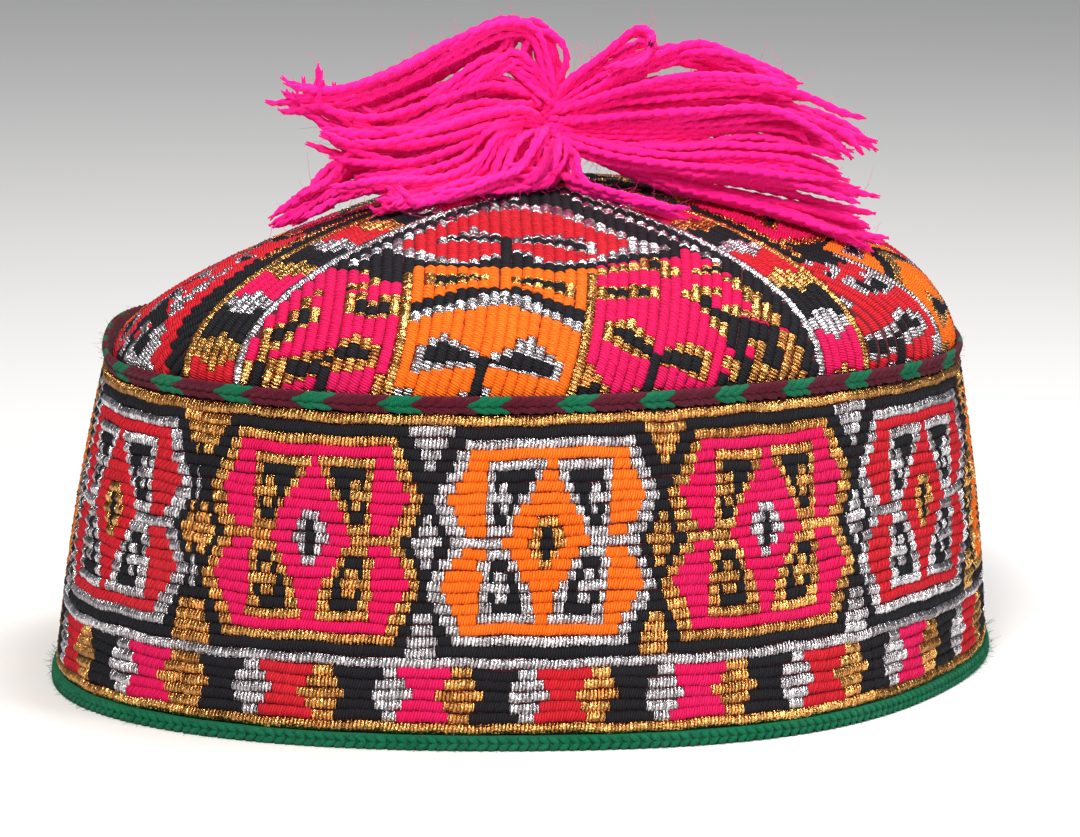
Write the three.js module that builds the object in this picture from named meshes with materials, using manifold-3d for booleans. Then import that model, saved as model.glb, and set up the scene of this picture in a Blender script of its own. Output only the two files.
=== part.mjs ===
// An embroidered Central Asian skullcap: an upright flared band, a soft domed crown of four gores
// joined by four radial strips, a braid over the seam between them, a braided rim binding and a
// yarn tassel tied down at the top. Millimetres, +Z up. The rim stands on Z = 0, the origin is at
// its middle, and the front gore faces -Y. Angles in plan turn from the front (-Y) towards +X.
import * as THREE from 'three';
import Module from 'manifold-3d';

const wasm = await Module();
wasm.setup();

const RADIANS = Math.PI / 180;
const TURN = 2 * Math.PI;

// Driving dimensions
const RIM_RADIUS = 94.5; // mean outer radius of the band at its lower edge
const SEAM_RADIUS = 88.7; // mean outer radius of the band at its upper edge
const BAND_SWELL = 0.6; // how far the middle of the band stands out from a straight flare
const WALL = 3; // padded cloth with its corded embroidery
const CORD_PITCH = 2.13; // width of one embroidered cord
const BAND_CORDS = 29; // cords that the band is high
const GAP = 0.3; // clearance between neighbouring pieces

// The cap is slightly oval, as a head leaves it, and pressed flat at both sides
const OVAL_AT_RIM = 0.096; // share by which the radius grows along the long axis and shrinks across it
const OVAL_AT_SEAM = 0.125;
const OVAL_HEADING = -56.9 * RADIANS;
const SQUARENESS_AT_RIM = 0.031; // share by which the rim stands out further at the ends of both axes
const SIDE_LIMIT_AT_RIM = 1.086; // farthest that a side stands out, as a share of the mean radius
const SIDE_LIMIT_AT_SEAM = 1.006;
const SIDE_SHARPNESS = 24; // larger turns more sharply from the front into a flat side

// Crown
const CROWN_RISE = 35.1; // apex above the seam
const CROWN_INSET = 0.8; // the crown stands this far inside the band's upper edge
const CROWN_TUCK = 1.4; // its foot draws in this much further, behind the braid
const TUCK_HEIGHT = 5;
const DOME_POWER = 1.5; // 2 would be a round top, 1 a cone
const SHOULDER = 0.36; // smaller is a fuller shoulder
const FULLNESS = 0.033; // the left side is sewn a little fuller than the right
const FULL_HEADING = -93 * RADIANS;
const SLUMP = 0.433; // the left gore has sunk to a slope
const SLUMP_HEADING = -99 * RADIANS;
const SLUMP_SPREAD = 34.6 * RADIANS;
const STRIP_CORDS = 7; // cords across a radial strip
const STRIP_LARGEST_HALF_ANGLE = 22.5 * RADIANS; // strips narrow to the apex inside this angle
const APEX_OPENING = 2.5; // radius where the panel tips stop, below the tassel

// Rim binding and seam braid
const RIM_HEIGHT = 2.9;
const RIM_PROUD = 0.9; // the binding stands out this far from the band on both faces
const BRAID_HEIGHT = 3.4;
const BRAID_THICKNESS = 1.6;
const BRAID_CLEARANCE = 0.65; // room for the flat facets of the crown behind it

// Tassel
const KNOT = new THREE.Vector3(1.4, -4, 112); // where the yarn is tied
const KNOT_RADIUS = 6.5;
const LOCK_ROOT_RADIUS = 4.4;
const LOCK_TIP_RADIUS = 2.8;
const TASSEL_CLEARANCE = 0.5; // least gap between a lock and the crown

// Faceting
const EDGE_STEPS = 720;
const ROUND_STEPS = 56;
const CROWN_ROWS = 11;
const GORE_COLUMNS = 12;
const STRIP_COLUMNS = 3;
const LOCK_STEPS = 6;
const LOCK_SIDES = 6;

// Heights that follow from the driving dimensions
const BAND_FOOT = RIM_HEIGHT + GAP;
const BAND_HEIGHT = BAND_CORDS * CORD_PITCH;
const BAND_TOP = BAND_FOOT + BAND_HEIGHT;
const CROWN_FOOT = BAND_TOP + GAP;
const CROWN_RADIUS = SEAM_RADIUS - CROWN_INSET;
const STRIP_HALF_WIDTH = STRIP_CORDS * CORD_PITCH / 2;

// Raised single cords that divide the band, from its lower edge up: the line over the rim, the line
// over the border of blocks, and the line under the seam
const BAND_LINES = [
  { cord: 0, proud: 0.4 },
  { cord: 6, proud: 0.4 },
  { cord: 28, proud: 0.4 },
];

// Locks of the tassel. heading: plan direction; reach: plan distance of the tip from the knot;
// crest: share of the reach where the lock has risen to its arch; arch and tip: heights over the knot
const LOCKS = [
  { heading: -96, reach: 55, crest: 0.21, arch: 18.5, tip: 2.5 },
  { heading: -108, reach: 48, crest: 0.25, arch: 17, tip: 4 },
  { heading: -84, reach: 50, crest: 0.22, arch: 15, tip: 0 },
  { heading: -116, reach: 44, crest: 0.3, arch: 10, tip: -6 },
  { heading: -92, reach: 47, crest: 0.28, arch: 9, tip: -6 },
  { heading: -78, reach: 44, crest: 0.3, arch: 6, tip: -9 },
  { heading: -102, reach: 44, crest: 0.3, arch: 3, tip: -14 },
  { heading: -70, reach: 44, crest: 0.3, arch: 0, tip: -17 },
  { heading: -88, reach: 57, crest: 0.3, arch: -5, tip: -24 },
  { heading: -76, reach: 50, crest: 0.3, arch: -6, tip: -22 },
  { heading: -60, reach: 38, crest: 0.35, arch: -8, tip: -22 },
  { heading: -30, reach: 24, crest: 0.4, arch: -6, tip: -19 },
  { heading: -134, reach: 36, crest: 0.3, arch: 5, tip: -16 },
  { heading: -158, reach: 26, crest: 0.35, arch: 6, tip: -15 },
  { heading: -60, reach: 12, crest: 0.5, arch: 17, tip: 10 },
  { heading: 92, reach: 26, crest: 0.6, arch: 16, tip: 13 },
  { heading: 100, reach: 50, crest: 0.45, arch: 12.5, tip: 4 },
  { heading: 86, reach: 54, crest: 0.5, arch: 11, tip: 1 },
  { heading: 108, reach: 58, crest: 0.45, arch: 8, tip: -4 },
  { heading: 92, reach: 65, crest: 0.45, arch: 5, tip: -7 },
  { heading: 82, reach: 62, crest: 0.4, arch: 2, tip: -10 },
  { heading: 100, reach: 62, crest: 0.4, arch: -1, tip: -14 },
  { heading: 90, reach: 68, crest: 0.4, arch: -6, tip: -20 },
  { heading: 80, reach: 68, crest: 0.35, arch: -8, tip: -25 },
  { heading: 70, reach: 54, crest: 0.35, arch: -9, tip: -22 },
  { heading: 114, reach: 52, crest: 0.4, arch: 0, tip: -18 },
  { heading: 50, reach: 30, crest: 0.4, arch: -12, tip: -24 },
  { heading: 136, reach: 34, crest: 0.4, arch: 5, tip: -16 },
];

// Colours and finishes
const CLOTH = { roughness: 0.85, metalness: 0 };
const bandCloth = new THREE.MeshStandardMaterial({ color: 0xb3223c, ...CLOTH });
const pinkGoreCloth = new THREE.MeshStandardMaterial({ color: 0xe01b72, ...CLOTH });
const redGoreCloth = new THREE.MeshStandardMaterial({ color: 0xc4283a, ...CLOTH });
const stripCloth = new THREE.MeshStandardMaterial({ color: 0x2b2b30, ...CLOTH });
const rimGreen = new THREE.MeshStandardMaterial({ color: 0x12704a, ...CLOTH });
const braidMaroon = new THREE.MeshStandardMaterial({ color: 0x5c2036, ...CLOTH });
const tasselPink = new THREE.MeshStandardMaterial({ color: 0xf0148c, ...CLOTH });

// Outline of the cap in plan, as a factor on any mean radius. level is 0 at the rim, 1 at the seam.
function plan(heading, level = 1) {
  const { lerp } = THREE.MathUtils;
  const turned = 2 * (heading - OVAL_HEADING);
  const square = lerp(SQUARENESS_AT_RIM, 0, level) * Math.cos(2 * turned);
  const oval = 1 + lerp(OVAL_AT_RIM, OVAL_AT_SEAM, level) * Math.cos(turned) + square;
  const limit = lerp(SIDE_LIMIT_AT_RIM, SIDE_LIMIT_AT_SEAM, level);
  const pressed = Math.abs(Math.sin(heading)) / limit;
  return (oval ** -SIDE_SHARPNESS + pressed ** SIDE_SHARPNESS) ** (-1 / SIDE_SHARPNESS);
}

// Length of the cap's edge from the front to each of many even headings, for a mean radius of 1
function edgeLengths() {
  const lengths = [0];
  const at = (step) => polar(TURN * step / EDGE_STEPS, plan(TURN * step / EDGE_STEPS, 0.5), 0);
  for (let step = 1; step <= EDGE_STEPS; step += 1) {
    lengths.push(lengths[step - 1] + at(step).distanceTo(at(step - 1)));
  }
  return lengths;
}

// Heading that lies a given share of the way round the cap's edge from the front
function headingAt(share) {
  const turns = Math.floor(share);
  const lengths = edgeLengths();
  const sought = (share - turns) * lengths[EDGE_STEPS];
  const step = Math.max(1, lengths.findIndex((length) => length >= sought));
  const part = (sought - lengths[step - 1]) / (lengths[step] - lengths[step - 1]);
  return TURN * (turns + (step - 1 + part) / EDGE_STEPS);
}

function polar(heading, radius, z) {
  return new THREE.Vector3(radius * Math.sin(heading), -radius * Math.cos(heading), z);
}

// Outer mean radius of the band at a share of its height
function bandRadius(share) {
  const flare = THREE.MathUtils.lerp(RIM_RADIUS, SEAM_RADIUS, share);
  return flare + BAND_SWELL * 4 * share * (1 - share);
}

// How soon the dome falls away towards its foot
function shoulder(heading) {
  const away = Math.atan2(Math.sin(heading - SLUMP_HEADING), Math.cos(heading - SLUMP_HEADING));
  const sunk = SLUMP * Math.exp(-((away / SLUMP_SPREAD) ** 2));
  return SHOULDER - FULLNESS * Math.cos(heading - FULL_HEADING) + sunk;
}

// Height of the dome over its foot, for a share of the way out from the apex to the edge
function domeRise(share, heading, rise) {
  const fall = Math.max(0, 1 - share ** DOME_POWER);
  return rise * fall ** shoulder(heading);
}

// A point of the crown's outer face, or of its inner face when inside is the wall's thickness
function crownPoint(heading, share, inside = 0) {
  const rise = domeRise(share, heading, CROWN_RISE - inside);
  const tuck = CROWN_TUCK * Math.max(0, 1 - rise / TUCK_HEIGHT) ** 2;
  const radius = share * (CROWN_RADIUS - inside) * plan(heading) - tuck;
  return polar(heading, radius, CROWN_FOOT + rise);
}

function crownHeight(x, y) {
  const heading = Math.atan2(x, -y);
  const share = Math.min(1, Math.hypot(x, y) / (CROWN_RADIUS * plan(heading)));
  return CROWN_FOOT + domeRise(share, heading, CROWN_RISE);
}

// Shares of the crown's radius from the foot to the tip, closer together at the shoulder
function crownShare(row) {
  const tip = APEX_OPENING / CROWN_RADIUS;
  const climb = 1 - (row / CROWN_ROWS) ** 2.4;
  return Math.max(tip, climb ** (1 / DOME_POWER));
}

// A closed wall between an outer and an inner grid of points, with outer(column, row) and
// inner(column, row). A closed wall runs all the way round; an open one also gets side edges.
function wall({ columns, rows, closed, outer, inner }) {
  const stations = closed ? columns : columns + 1;
  const levels = rows + 1;
  const positions = [];
  for (const face of [outer, inner]) {
    for (let row = 0; row < levels; row += 1) {
      for (let column = 0; column < stations; column += 1) {
        positions.push(...face(column, row).toArray());
      }
    }
  }
  const at = (side, column, row) => side * stations * levels + row * stations + (column % stations);
  const index = [];
  const quad = (a, b, c, d) => index.push(a, b, c, a, c, d);
  for (let column = 0; column < columns; column += 1) {
    for (let row = 0; row < rows; row += 1) {
      quad(at(0, column, row), at(0, column + 1, row), at(0, column + 1, row + 1), at(0, column, row + 1));
      quad(at(1, column, row), at(1, column, row + 1), at(1, column + 1, row + 1), at(1, column + 1, row));
    }
    quad(at(1, column, 0), at(1, column + 1, 0), at(0, column + 1, 0), at(0, column, 0));
    quad(at(0, column, rows), at(0, column + 1, rows), at(1, column + 1, rows), at(1, column, rows));
  }
  for (let row = 0; row < rows && !closed; row += 1) {
    quad(at(1, 0, row), at(0, 0, row), at(0, 0, row + 1), at(1, 0, row + 1));
    quad(at(0, columns, row), at(1, columns, row), at(1, columns, row + 1), at(0, columns, row + 1));
  }
  const geometry = new THREE.BufferGeometry();
  geometry.setAttribute('position', new THREE.Float32BufferAttribute(positions, 3));
  geometry.setIndex(index);
  geometry.computeVertexNormals();
  return geometry;
}

// A ring whose section is given by rows of { outer, inner, z } radii, fitted to the oval plan
function ring(section) {
  const heading = (column) => TURN * column / ROUND_STEPS;
  const face = (key) => (column, row) => {
    const turn = heading(column);
    const { [key]: radius, z } = section[row];
    return polar(turn, radius * plan(turn, Math.min(1, z / BAND_TOP)), z);
  };
  return wall({
    columns: ROUND_STEPS,
    rows: section.length - 1,
    closed: true,
    outer: face('outer'),
    inner: face('inner'),
  });
}

function bandSection() {
  const heights = new Map();
  const note = (cords, proud) => heights.set(cords, proud);
  for (let cords = 0; cords <= BAND_CORDS; cords += BAND_CORDS / 4) {
    note(cords, 0);
  }
  for (const { cord, proud } of BAND_LINES) {
    note(cord, 0);
    note(cord + 0.5, proud);
    note(cord + 1, 0);
  }
  return [...heights].sort(([low], [high]) => low - high).map(([cords, proud]) => {
    const radius = bandRadius(cords / BAND_CORDS);
    return { outer: radius + proud, inner: radius - WALL, z: BAND_FOOT + cords * CORD_PITCH };
  });
}

// The binding is a rounded cord-like edge, flat underneath where it rests
function rimSection() {
  const rows = 5;
  return Array.from({ length: rows + 1 }, (_, row) => {
    const share = row / rows;
    const swell = RIM_PROUD * Math.sin(Math.PI * (0.18 + 0.72 * share));
    const outer = RIM_RADIUS + swell;
    return { outer, inner: RIM_RADIUS - WALL - swell, z: RIM_HEIGHT * share };
  });
}

// The braid lies round the tucked-in foot of the crown: flat behind, rounded in front
function braidSection() {
  const rows = 5;
  const foot = CROWN_RADIUS - CROWN_TUCK + BRAID_CLEARANCE;
  const lean = 0.75 * CROWN_TUCK;
  return Array.from({ length: rows + 1 }, (_, row) => {
    const share = row / rows;
    const swell = Math.sin(Math.PI * (0.12 + 0.76 * share));
    const inner = foot + lean * share;
    return { outer: inner + BRAID_THICKNESS * swell, inner, z: CROWN_FOOT + BRAID_HEIGHT * share };
  });
}

// Half of the angle that a radial strip takes at a given share of the crown's radius
function stripHalfAngle(heading, share, halfWidth) {
  const radius = share * CROWN_RADIUS * plan(heading);
  const wide = Math.asin(Math.min(1, halfWidth / radius));
  const narrowed = STRIP_LARGEST_HALF_ANGLE * halfWidth / STRIP_HALF_WIDTH;
  return Math.min(wide, narrowed);
}

// A panel of the crown between two headings that may change on the way up
function crownPanel(columns, left, right) {
  const face = (inside) => (column, row) => {
    const share = crownShare(row);
    const heading = THREE.MathUtils.lerp(left(share), right(share), column / columns);
    return crownPoint(heading, share, inside);
  };
  return wall({ columns, rows: CROWN_ROWS, closed: false, outer: face(0), inner: face(WALL) });
}

function stripPanel(heading) {
  const half = (share) => stripHalfAngle(heading, share, STRIP_HALF_WIDTH - GAP);
  return crownPanel(STRIP_COLUMNS, (share) => heading - half(share), (share) => heading + half(share));
}

function gorePanel(leftStrip, rightStrip) {
  const left = (share) => leftStrip + stripHalfAngle(leftStrip, share, STRIP_HALF_WIDTH);
  const right = (share) => rightStrip - stripHalfAngle(rightStrip, share, STRIP_HALF_WIDTH);
  return crownPanel(GORE_COLUMNS, left, right);
}

// Centre line of a lock: out of the knot, over its crest, and down towards its tip
function lockPath({ heading, reach, crest, arch, tip }) {
  const out = polar(heading * RADIANS, 1, 0);
  const along = (share, rise) => KNOT.clone().addScaledVector(out, reach * share).setZ(KNOT.z + rise);
  const curve = new THREE.CatmullRomCurve3([
    along(0, 0),
    along(crest, arch),
    along((1 + crest) / 2, THREE.MathUtils.lerp(tip, arch, 0.45)),
    along(1, tip),
  ]);
  return curve.getSpacedPoints(LOCK_STEPS);
}

function lockGeometry(lock) {
  const path = lockPath(lock);
  const positions = [];
  path.forEach((point, step) => {
    const share = step / LOCK_STEPS;
    const radius = THREE.MathUtils.lerp(LOCK_ROOT_RADIUS, LOCK_TIP_RADIUS, share);
    const least = crownHeight(point.x, point.y) + radius + TASSEL_CLEARANCE;
    const centre = point.clone().setZ(Math.max(point.z, least));
    const before = path[Math.max(0, step - 1)];
    const after = path[Math.min(LOCK_STEPS, step + 1)];
    const forward = after.clone().sub(before).setZ(0).normalize();
    const side = new THREE.Vector3(-forward.y, forward.x, 0);
    for (let corner = 0; corner < LOCK_SIDES; corner += 1) {
      const angle = TURN * corner / LOCK_SIDES;
      const rim = centre.clone().addScaledVector(side, radius * Math.cos(angle));
      positions.push(rim.x, rim.y, rim.z + radius * Math.sin(angle));
    }
  });
  const index = [];
  for (let step = 0; step < LOCK_STEPS; step += 1) {
    for (let corner = 0; corner < LOCK_SIDES; corner += 1) {
      const here = step * LOCK_SIDES + corner;
      const next = step * LOCK_SIDES + (corner + 1) % LOCK_SIDES;
      index.push(here, next, here + LOCK_SIDES, next, next + LOCK_SIDES, here + LOCK_SIDES);
    }
  }
  const last = LOCK_STEPS * LOCK_SIDES;
  for (let corner = 1; corner < LOCK_SIDES - 1; corner += 1) {
    index.push(0, corner + 1, corner);
    index.push(last, last + corner, last + corner + 1);
  }
  return { positions, index };
}

function manifoldOf(positions, index) {
  const mesh = new wasm.Mesh({
    numProp: 3,
    vertProperties: Float32Array.from(positions),
    triVerts: Uint32Array.from(index),
  });
  mesh.merge();
  return new wasm.Manifold(mesh);
}

// The knot with the neck of yarn below it, down to the crown
function headGeometry() {
  const apex = CROWN_FOOT + CROWN_RISE + GAP;
  const height = KNOT.z + KNOT_RADIUS - apex;
  const profile = [
    new THREE.Vector2(0, 0),
    new THREE.Vector2(KNOT_RADIUS * 1.25, 0),
    new THREE.Vector2(KNOT_RADIUS * 1.35, height * 0.25),
    new THREE.Vector2(KNOT_RADIUS, height * 0.6),
    new THREE.Vector2(KNOT_RADIUS * 0.9, height * 0.85),
    new THREE.Vector2(0, height),
  ];
  const sides = 10;
  const lathe = new THREE.LatheGeometry(profile, sides);
  lathe.rotateX(Math.PI / 2);
  lathe.translate(KNOT.x, KNOT.y, apex);
  return lathe;
}

function tasselGeometry() {
  const head = headGeometry();
  let solid = manifoldOf(head.getAttribute('position').array, head.getIndex().array);
  for (const lock of LOCKS) {
    const { positions, index } = lockGeometry(lock);
    solid = solid.add(manifoldOf(positions, index));
  }
  const { vertProperties, triVerts } = solid.getMesh();
  const geometry = new THREE.BufferGeometry();
  geometry.setAttribute('position', new THREE.BufferAttribute(vertProperties, 3));
  geometry.setIndex(new THREE.BufferAttribute(triVerts, 1));
  geometry.computeVertexNormals();
  return geometry;
}

const cap = new THREE.Group();

function piece(name, geometry, material) {
  const mesh = new THREE.Mesh(geometry, material);
  mesh.name = name;
  cap.add(mesh);
}

piece('rim_binding', ring(rimSection()), rimGreen);
piece('side_band', ring(bandSection()), bandCloth);
piece('seam_braid', ring(braidSection()), braidMaroon);

const QUARTERS = ['front', 'right', 'back', 'left'];
QUARTERS.forEach((side, quarter) => {
  const next = QUARTERS[(quarter + 1) % QUARTERS.length];
  const leftStrip = headingAt((quarter - 0.5) / QUARTERS.length);
  const rightStrip = headingAt((quarter + 0.5) / QUARTERS.length);
  const goreCloth = quarter % 2 === 0 ? pinkGoreCloth : redGoreCloth;
  piece(`crown_gore_${side}`, gorePanel(leftStrip, rightStrip), goreCloth);
  piece(`crown_strip_${side}_${next}`, stripPanel(rightStrip), stripCloth);
});

piece('tassel', tasselGeometry(), tasselPink);

export default cap;
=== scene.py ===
"""The embroidered skullcap: every colour run of the corded embroidery, the braids and the yarn
tassel as their own bodies on the cap's cloth walls.  Lengths are in millimetres until a mesh is made."""

import math

import bpy
import numpy as np
from mathutils import Matrix, Vector


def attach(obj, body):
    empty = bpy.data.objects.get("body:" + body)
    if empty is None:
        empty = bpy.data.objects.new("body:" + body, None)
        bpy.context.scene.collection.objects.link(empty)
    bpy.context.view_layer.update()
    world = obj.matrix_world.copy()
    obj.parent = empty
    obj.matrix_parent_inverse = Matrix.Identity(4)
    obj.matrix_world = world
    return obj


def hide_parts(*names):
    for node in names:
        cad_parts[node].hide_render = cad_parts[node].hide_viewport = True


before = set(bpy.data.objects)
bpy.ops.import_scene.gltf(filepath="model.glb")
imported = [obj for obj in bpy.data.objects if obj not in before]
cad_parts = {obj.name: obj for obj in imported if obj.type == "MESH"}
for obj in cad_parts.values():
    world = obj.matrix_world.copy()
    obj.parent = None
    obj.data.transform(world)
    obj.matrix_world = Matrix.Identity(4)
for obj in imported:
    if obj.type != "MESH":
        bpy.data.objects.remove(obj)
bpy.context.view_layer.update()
chance = np.random.default_rng(7)

# The cap's form
RIM_RADIUS = 94.5
SEAM_RADIUS = 88.7
BAND_SWELL = 0.6
BAND_FOOT = 3.2
BAND_TOP = 64.97
WALL = 3.0
OVAL_AT_RIM = 0.096
OVAL_AT_SEAM = 0.125
OVAL_HEADING = math.radians(-56.9)
SQUARENESS_AT_RIM = 0.031
SIDE_LIMIT_AT_RIM = 1.086
SIDE_LIMIT_AT_SEAM = 1.006
SIDE_SHARPNESS = 24
EDGE_STEPS = 1440
CROWN_FOOT = 65.27
CROWN_RADIUS = 87.9
CROWN_TUCK = 1.4
TUCK_HEIGHT = 5.0
CROWN_RISE = 35.1
DOME_POWER = 1.5
CLIMB_POWER = 2.4
SHOULDER = 0.36
FULLNESS = 0.033
FULL_HEADING = math.radians(-93)
SLUMP = 0.433
SLUMP_HEADING = math.radians(-99)
SLUMP_SPREAD = math.radians(34.6)
APEX_OPENING = 2.5
RIM_HEIGHT = 2.9
RIM_PROUD = 0.9
BRAID_HEIGHT = 3.4
BRAID_THICKNESS = 1.6
BRAID_CLEARANCE = 0.65
STRIP_HALF_WIDTH = 7.455
STRIP_LARGEST_HALF_ANGLE = math.radians(22.5)
GAP = 0.3

# The embroidery: a cord is a padded rib wrapped across with silk or with flat metal thread
CORD = 2.13
CORD_HEIGHT = 1.1
CORD_SINK = 0.95
SILK_WRAP = 1.0
SILK_VALLEY = 0.82
METAL_WRAP = 0.74
METAL_VALLEY = 0.7
CLOTH_DEPTH = 0.75
RUN_GAP = 0.03
SHORTEST_RUN = 0.3
END_SWELL = 0.75
WRAP_UNEVENNESS = 0.06
RUN_DRIFT = 0.08
WRAP_DRIFT = 0.05
CORD_OVERLAP = 1.15
NARROW_CORD_HEIGHT = 1.1
COUNT_SLIP = 0.1
LARGEST_SLIP = 0.3
MEDALLION_CELLS = 22
BAND_ROWS = 29
CORD_SECTION = np.array([(-0.5, 0), (-0.42, 0.58), (0, 1), (0.42, 0.58), (0.5, 0)])

# One half of a medallion, a row of the band to a line, from its middle to the middle of the divider:
# M main silk, O outline metal, C middle metal, K black, D divider metal, with the cell each run ends at
MEDALLION = [
    "K8.9 D11",
    "O7.9 K9.5 D11",
    "M7.4 O8.6 K10 D11",
    "M.45 O5.75 M7.6 O9 K10.5 D11",
    "M.7 O1.7 K5 O5.8 M8 O9.5 K11",
    "M1.3 O2.2 K3.8 O4.7 K5 O5.7 M8.6 O10 K11",
    "M1.9 O2.85 K3.55 O5.75 M9.3 O10.5 K11",
    "M2.55 O3.4 K3.85 O4.65 K5.1 O5.65 M8.7 O10.3 K11",
    "C1 M3.15 O3.75 K5 O5.8 M8.3 O10 K10.6 D11",
    "K.4 C1.5 M3.45 O5.7 M7.5 O9.5 K10.2 D11",
    "K.4 C1.85 M3.95 O8.7 K9.65 D11",
    "K.3 C1.2 M3.1 O5.6 M7.75 O9.2 K10 D11",
    "C.6 M2.5 O3.5 K5 O6.2 M8.5 O9.8 K10.5 D11",
    "M2.05 O2.95 K3.5 O4.6 K5.1 O5.85 M9.05 O10.3 K11",
    "M1.4 O2.4 K3.1 O6 M9.5 O10.7 K11",
    "M.95 O2.25 K3.3 O4.4 K5.1 O6 M8.9 O10.5 K11",
    "M.85 O2.1 K4.7 O5.85 M8.3 O9.9 K11",
    "M.6 O6 M7.7 O9.4 K10.1 D11",
    "M7.4 O8.85 K9.9 D11",
    "O8.4 K9.55 D11",
    "K9.6 D11",
]
MAIN_SILK = ["orange", "pink", "red", "orange", "red", "pink"] * 2
MEDALLIONS = len(MAIN_SILK)
CELLS_ROUND = MEDALLIONS * MEDALLION_CELLS
OUTLINE_METAL = {"pink": "gold", "red": "silver"}
GOLD_ORANGES = (3, 9)

# The border under the medallions: cells of colour, gold, black and silver in each of its five rows
BORDER = [(5, 2, 4.5, 1.5), (4, 3, 3.5, 3), (2.5, 4.5, 2.5, 4), (4, 3, 3.5, 3), (5, 2, 4.5, 1.5)]
BORDER_REPEAT = 13.2
BORDER_START = 2.6

# The band's pattern leans aside by these cells, and its rows stray by size, turn a cell and turn a row
LEAN_LEFT = 1.5
LEAN_RIGHT = 2.0
LEAN_ROWS = 22
LEAN_POWER = 1.3
ROW_WANDERS = ((0.15, 0.41, 0.5), (0.14, 1.03, -0.7))

# The crown strips: heading turn, first silk, its middle in cells from the foot, block order going up
STRIPS = [
    ("front_right", 0.5, ("pink", "red"), 3.8, ("silver", "black", "gold"), 1),
    ("right_back", 1.5, ("red", "pink"), 1.4, ("gold", "black", "silver"), -1),
    ("back_left", 2.5, ("pink", "red"), 3.8, ("silver", "black", "gold"), 1),
    ("left_front", -0.5, ("red", "pink"), 1.4, ("gold", "black", "silver"), -1),
]
STRIP_REPEAT = 12.2
STRIP_RIBS = 7
STRIP_OPENING = 1.6 * APEX_OPENING

# The gores: two ribs of metal beside the middle field, lines along the top edge given as cells below it,
# black along the right edge, and how far the ribs lean over near the foot
GORE_LINES = (-12.5, 4.5)
GORE_LINE_TOP = 17.0
GORE_EDGE_FROM = 18.5
GORE_EDGE = ((3.0, 1.7, "silver"), (1.7, 0.0, "black"))
GORE_SIDE_FROM = 13.0
GORE_SIDE_BLACK = 3.4
GORE_LEAN = 3.2 * CORD
GORE_LEAN_RISE = 0.5
GORE_LEAN_POWER = 1.3
GORE_RIBS = 40
RIB_STEPS = 460
FEWEST_POINTS = 4

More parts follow.
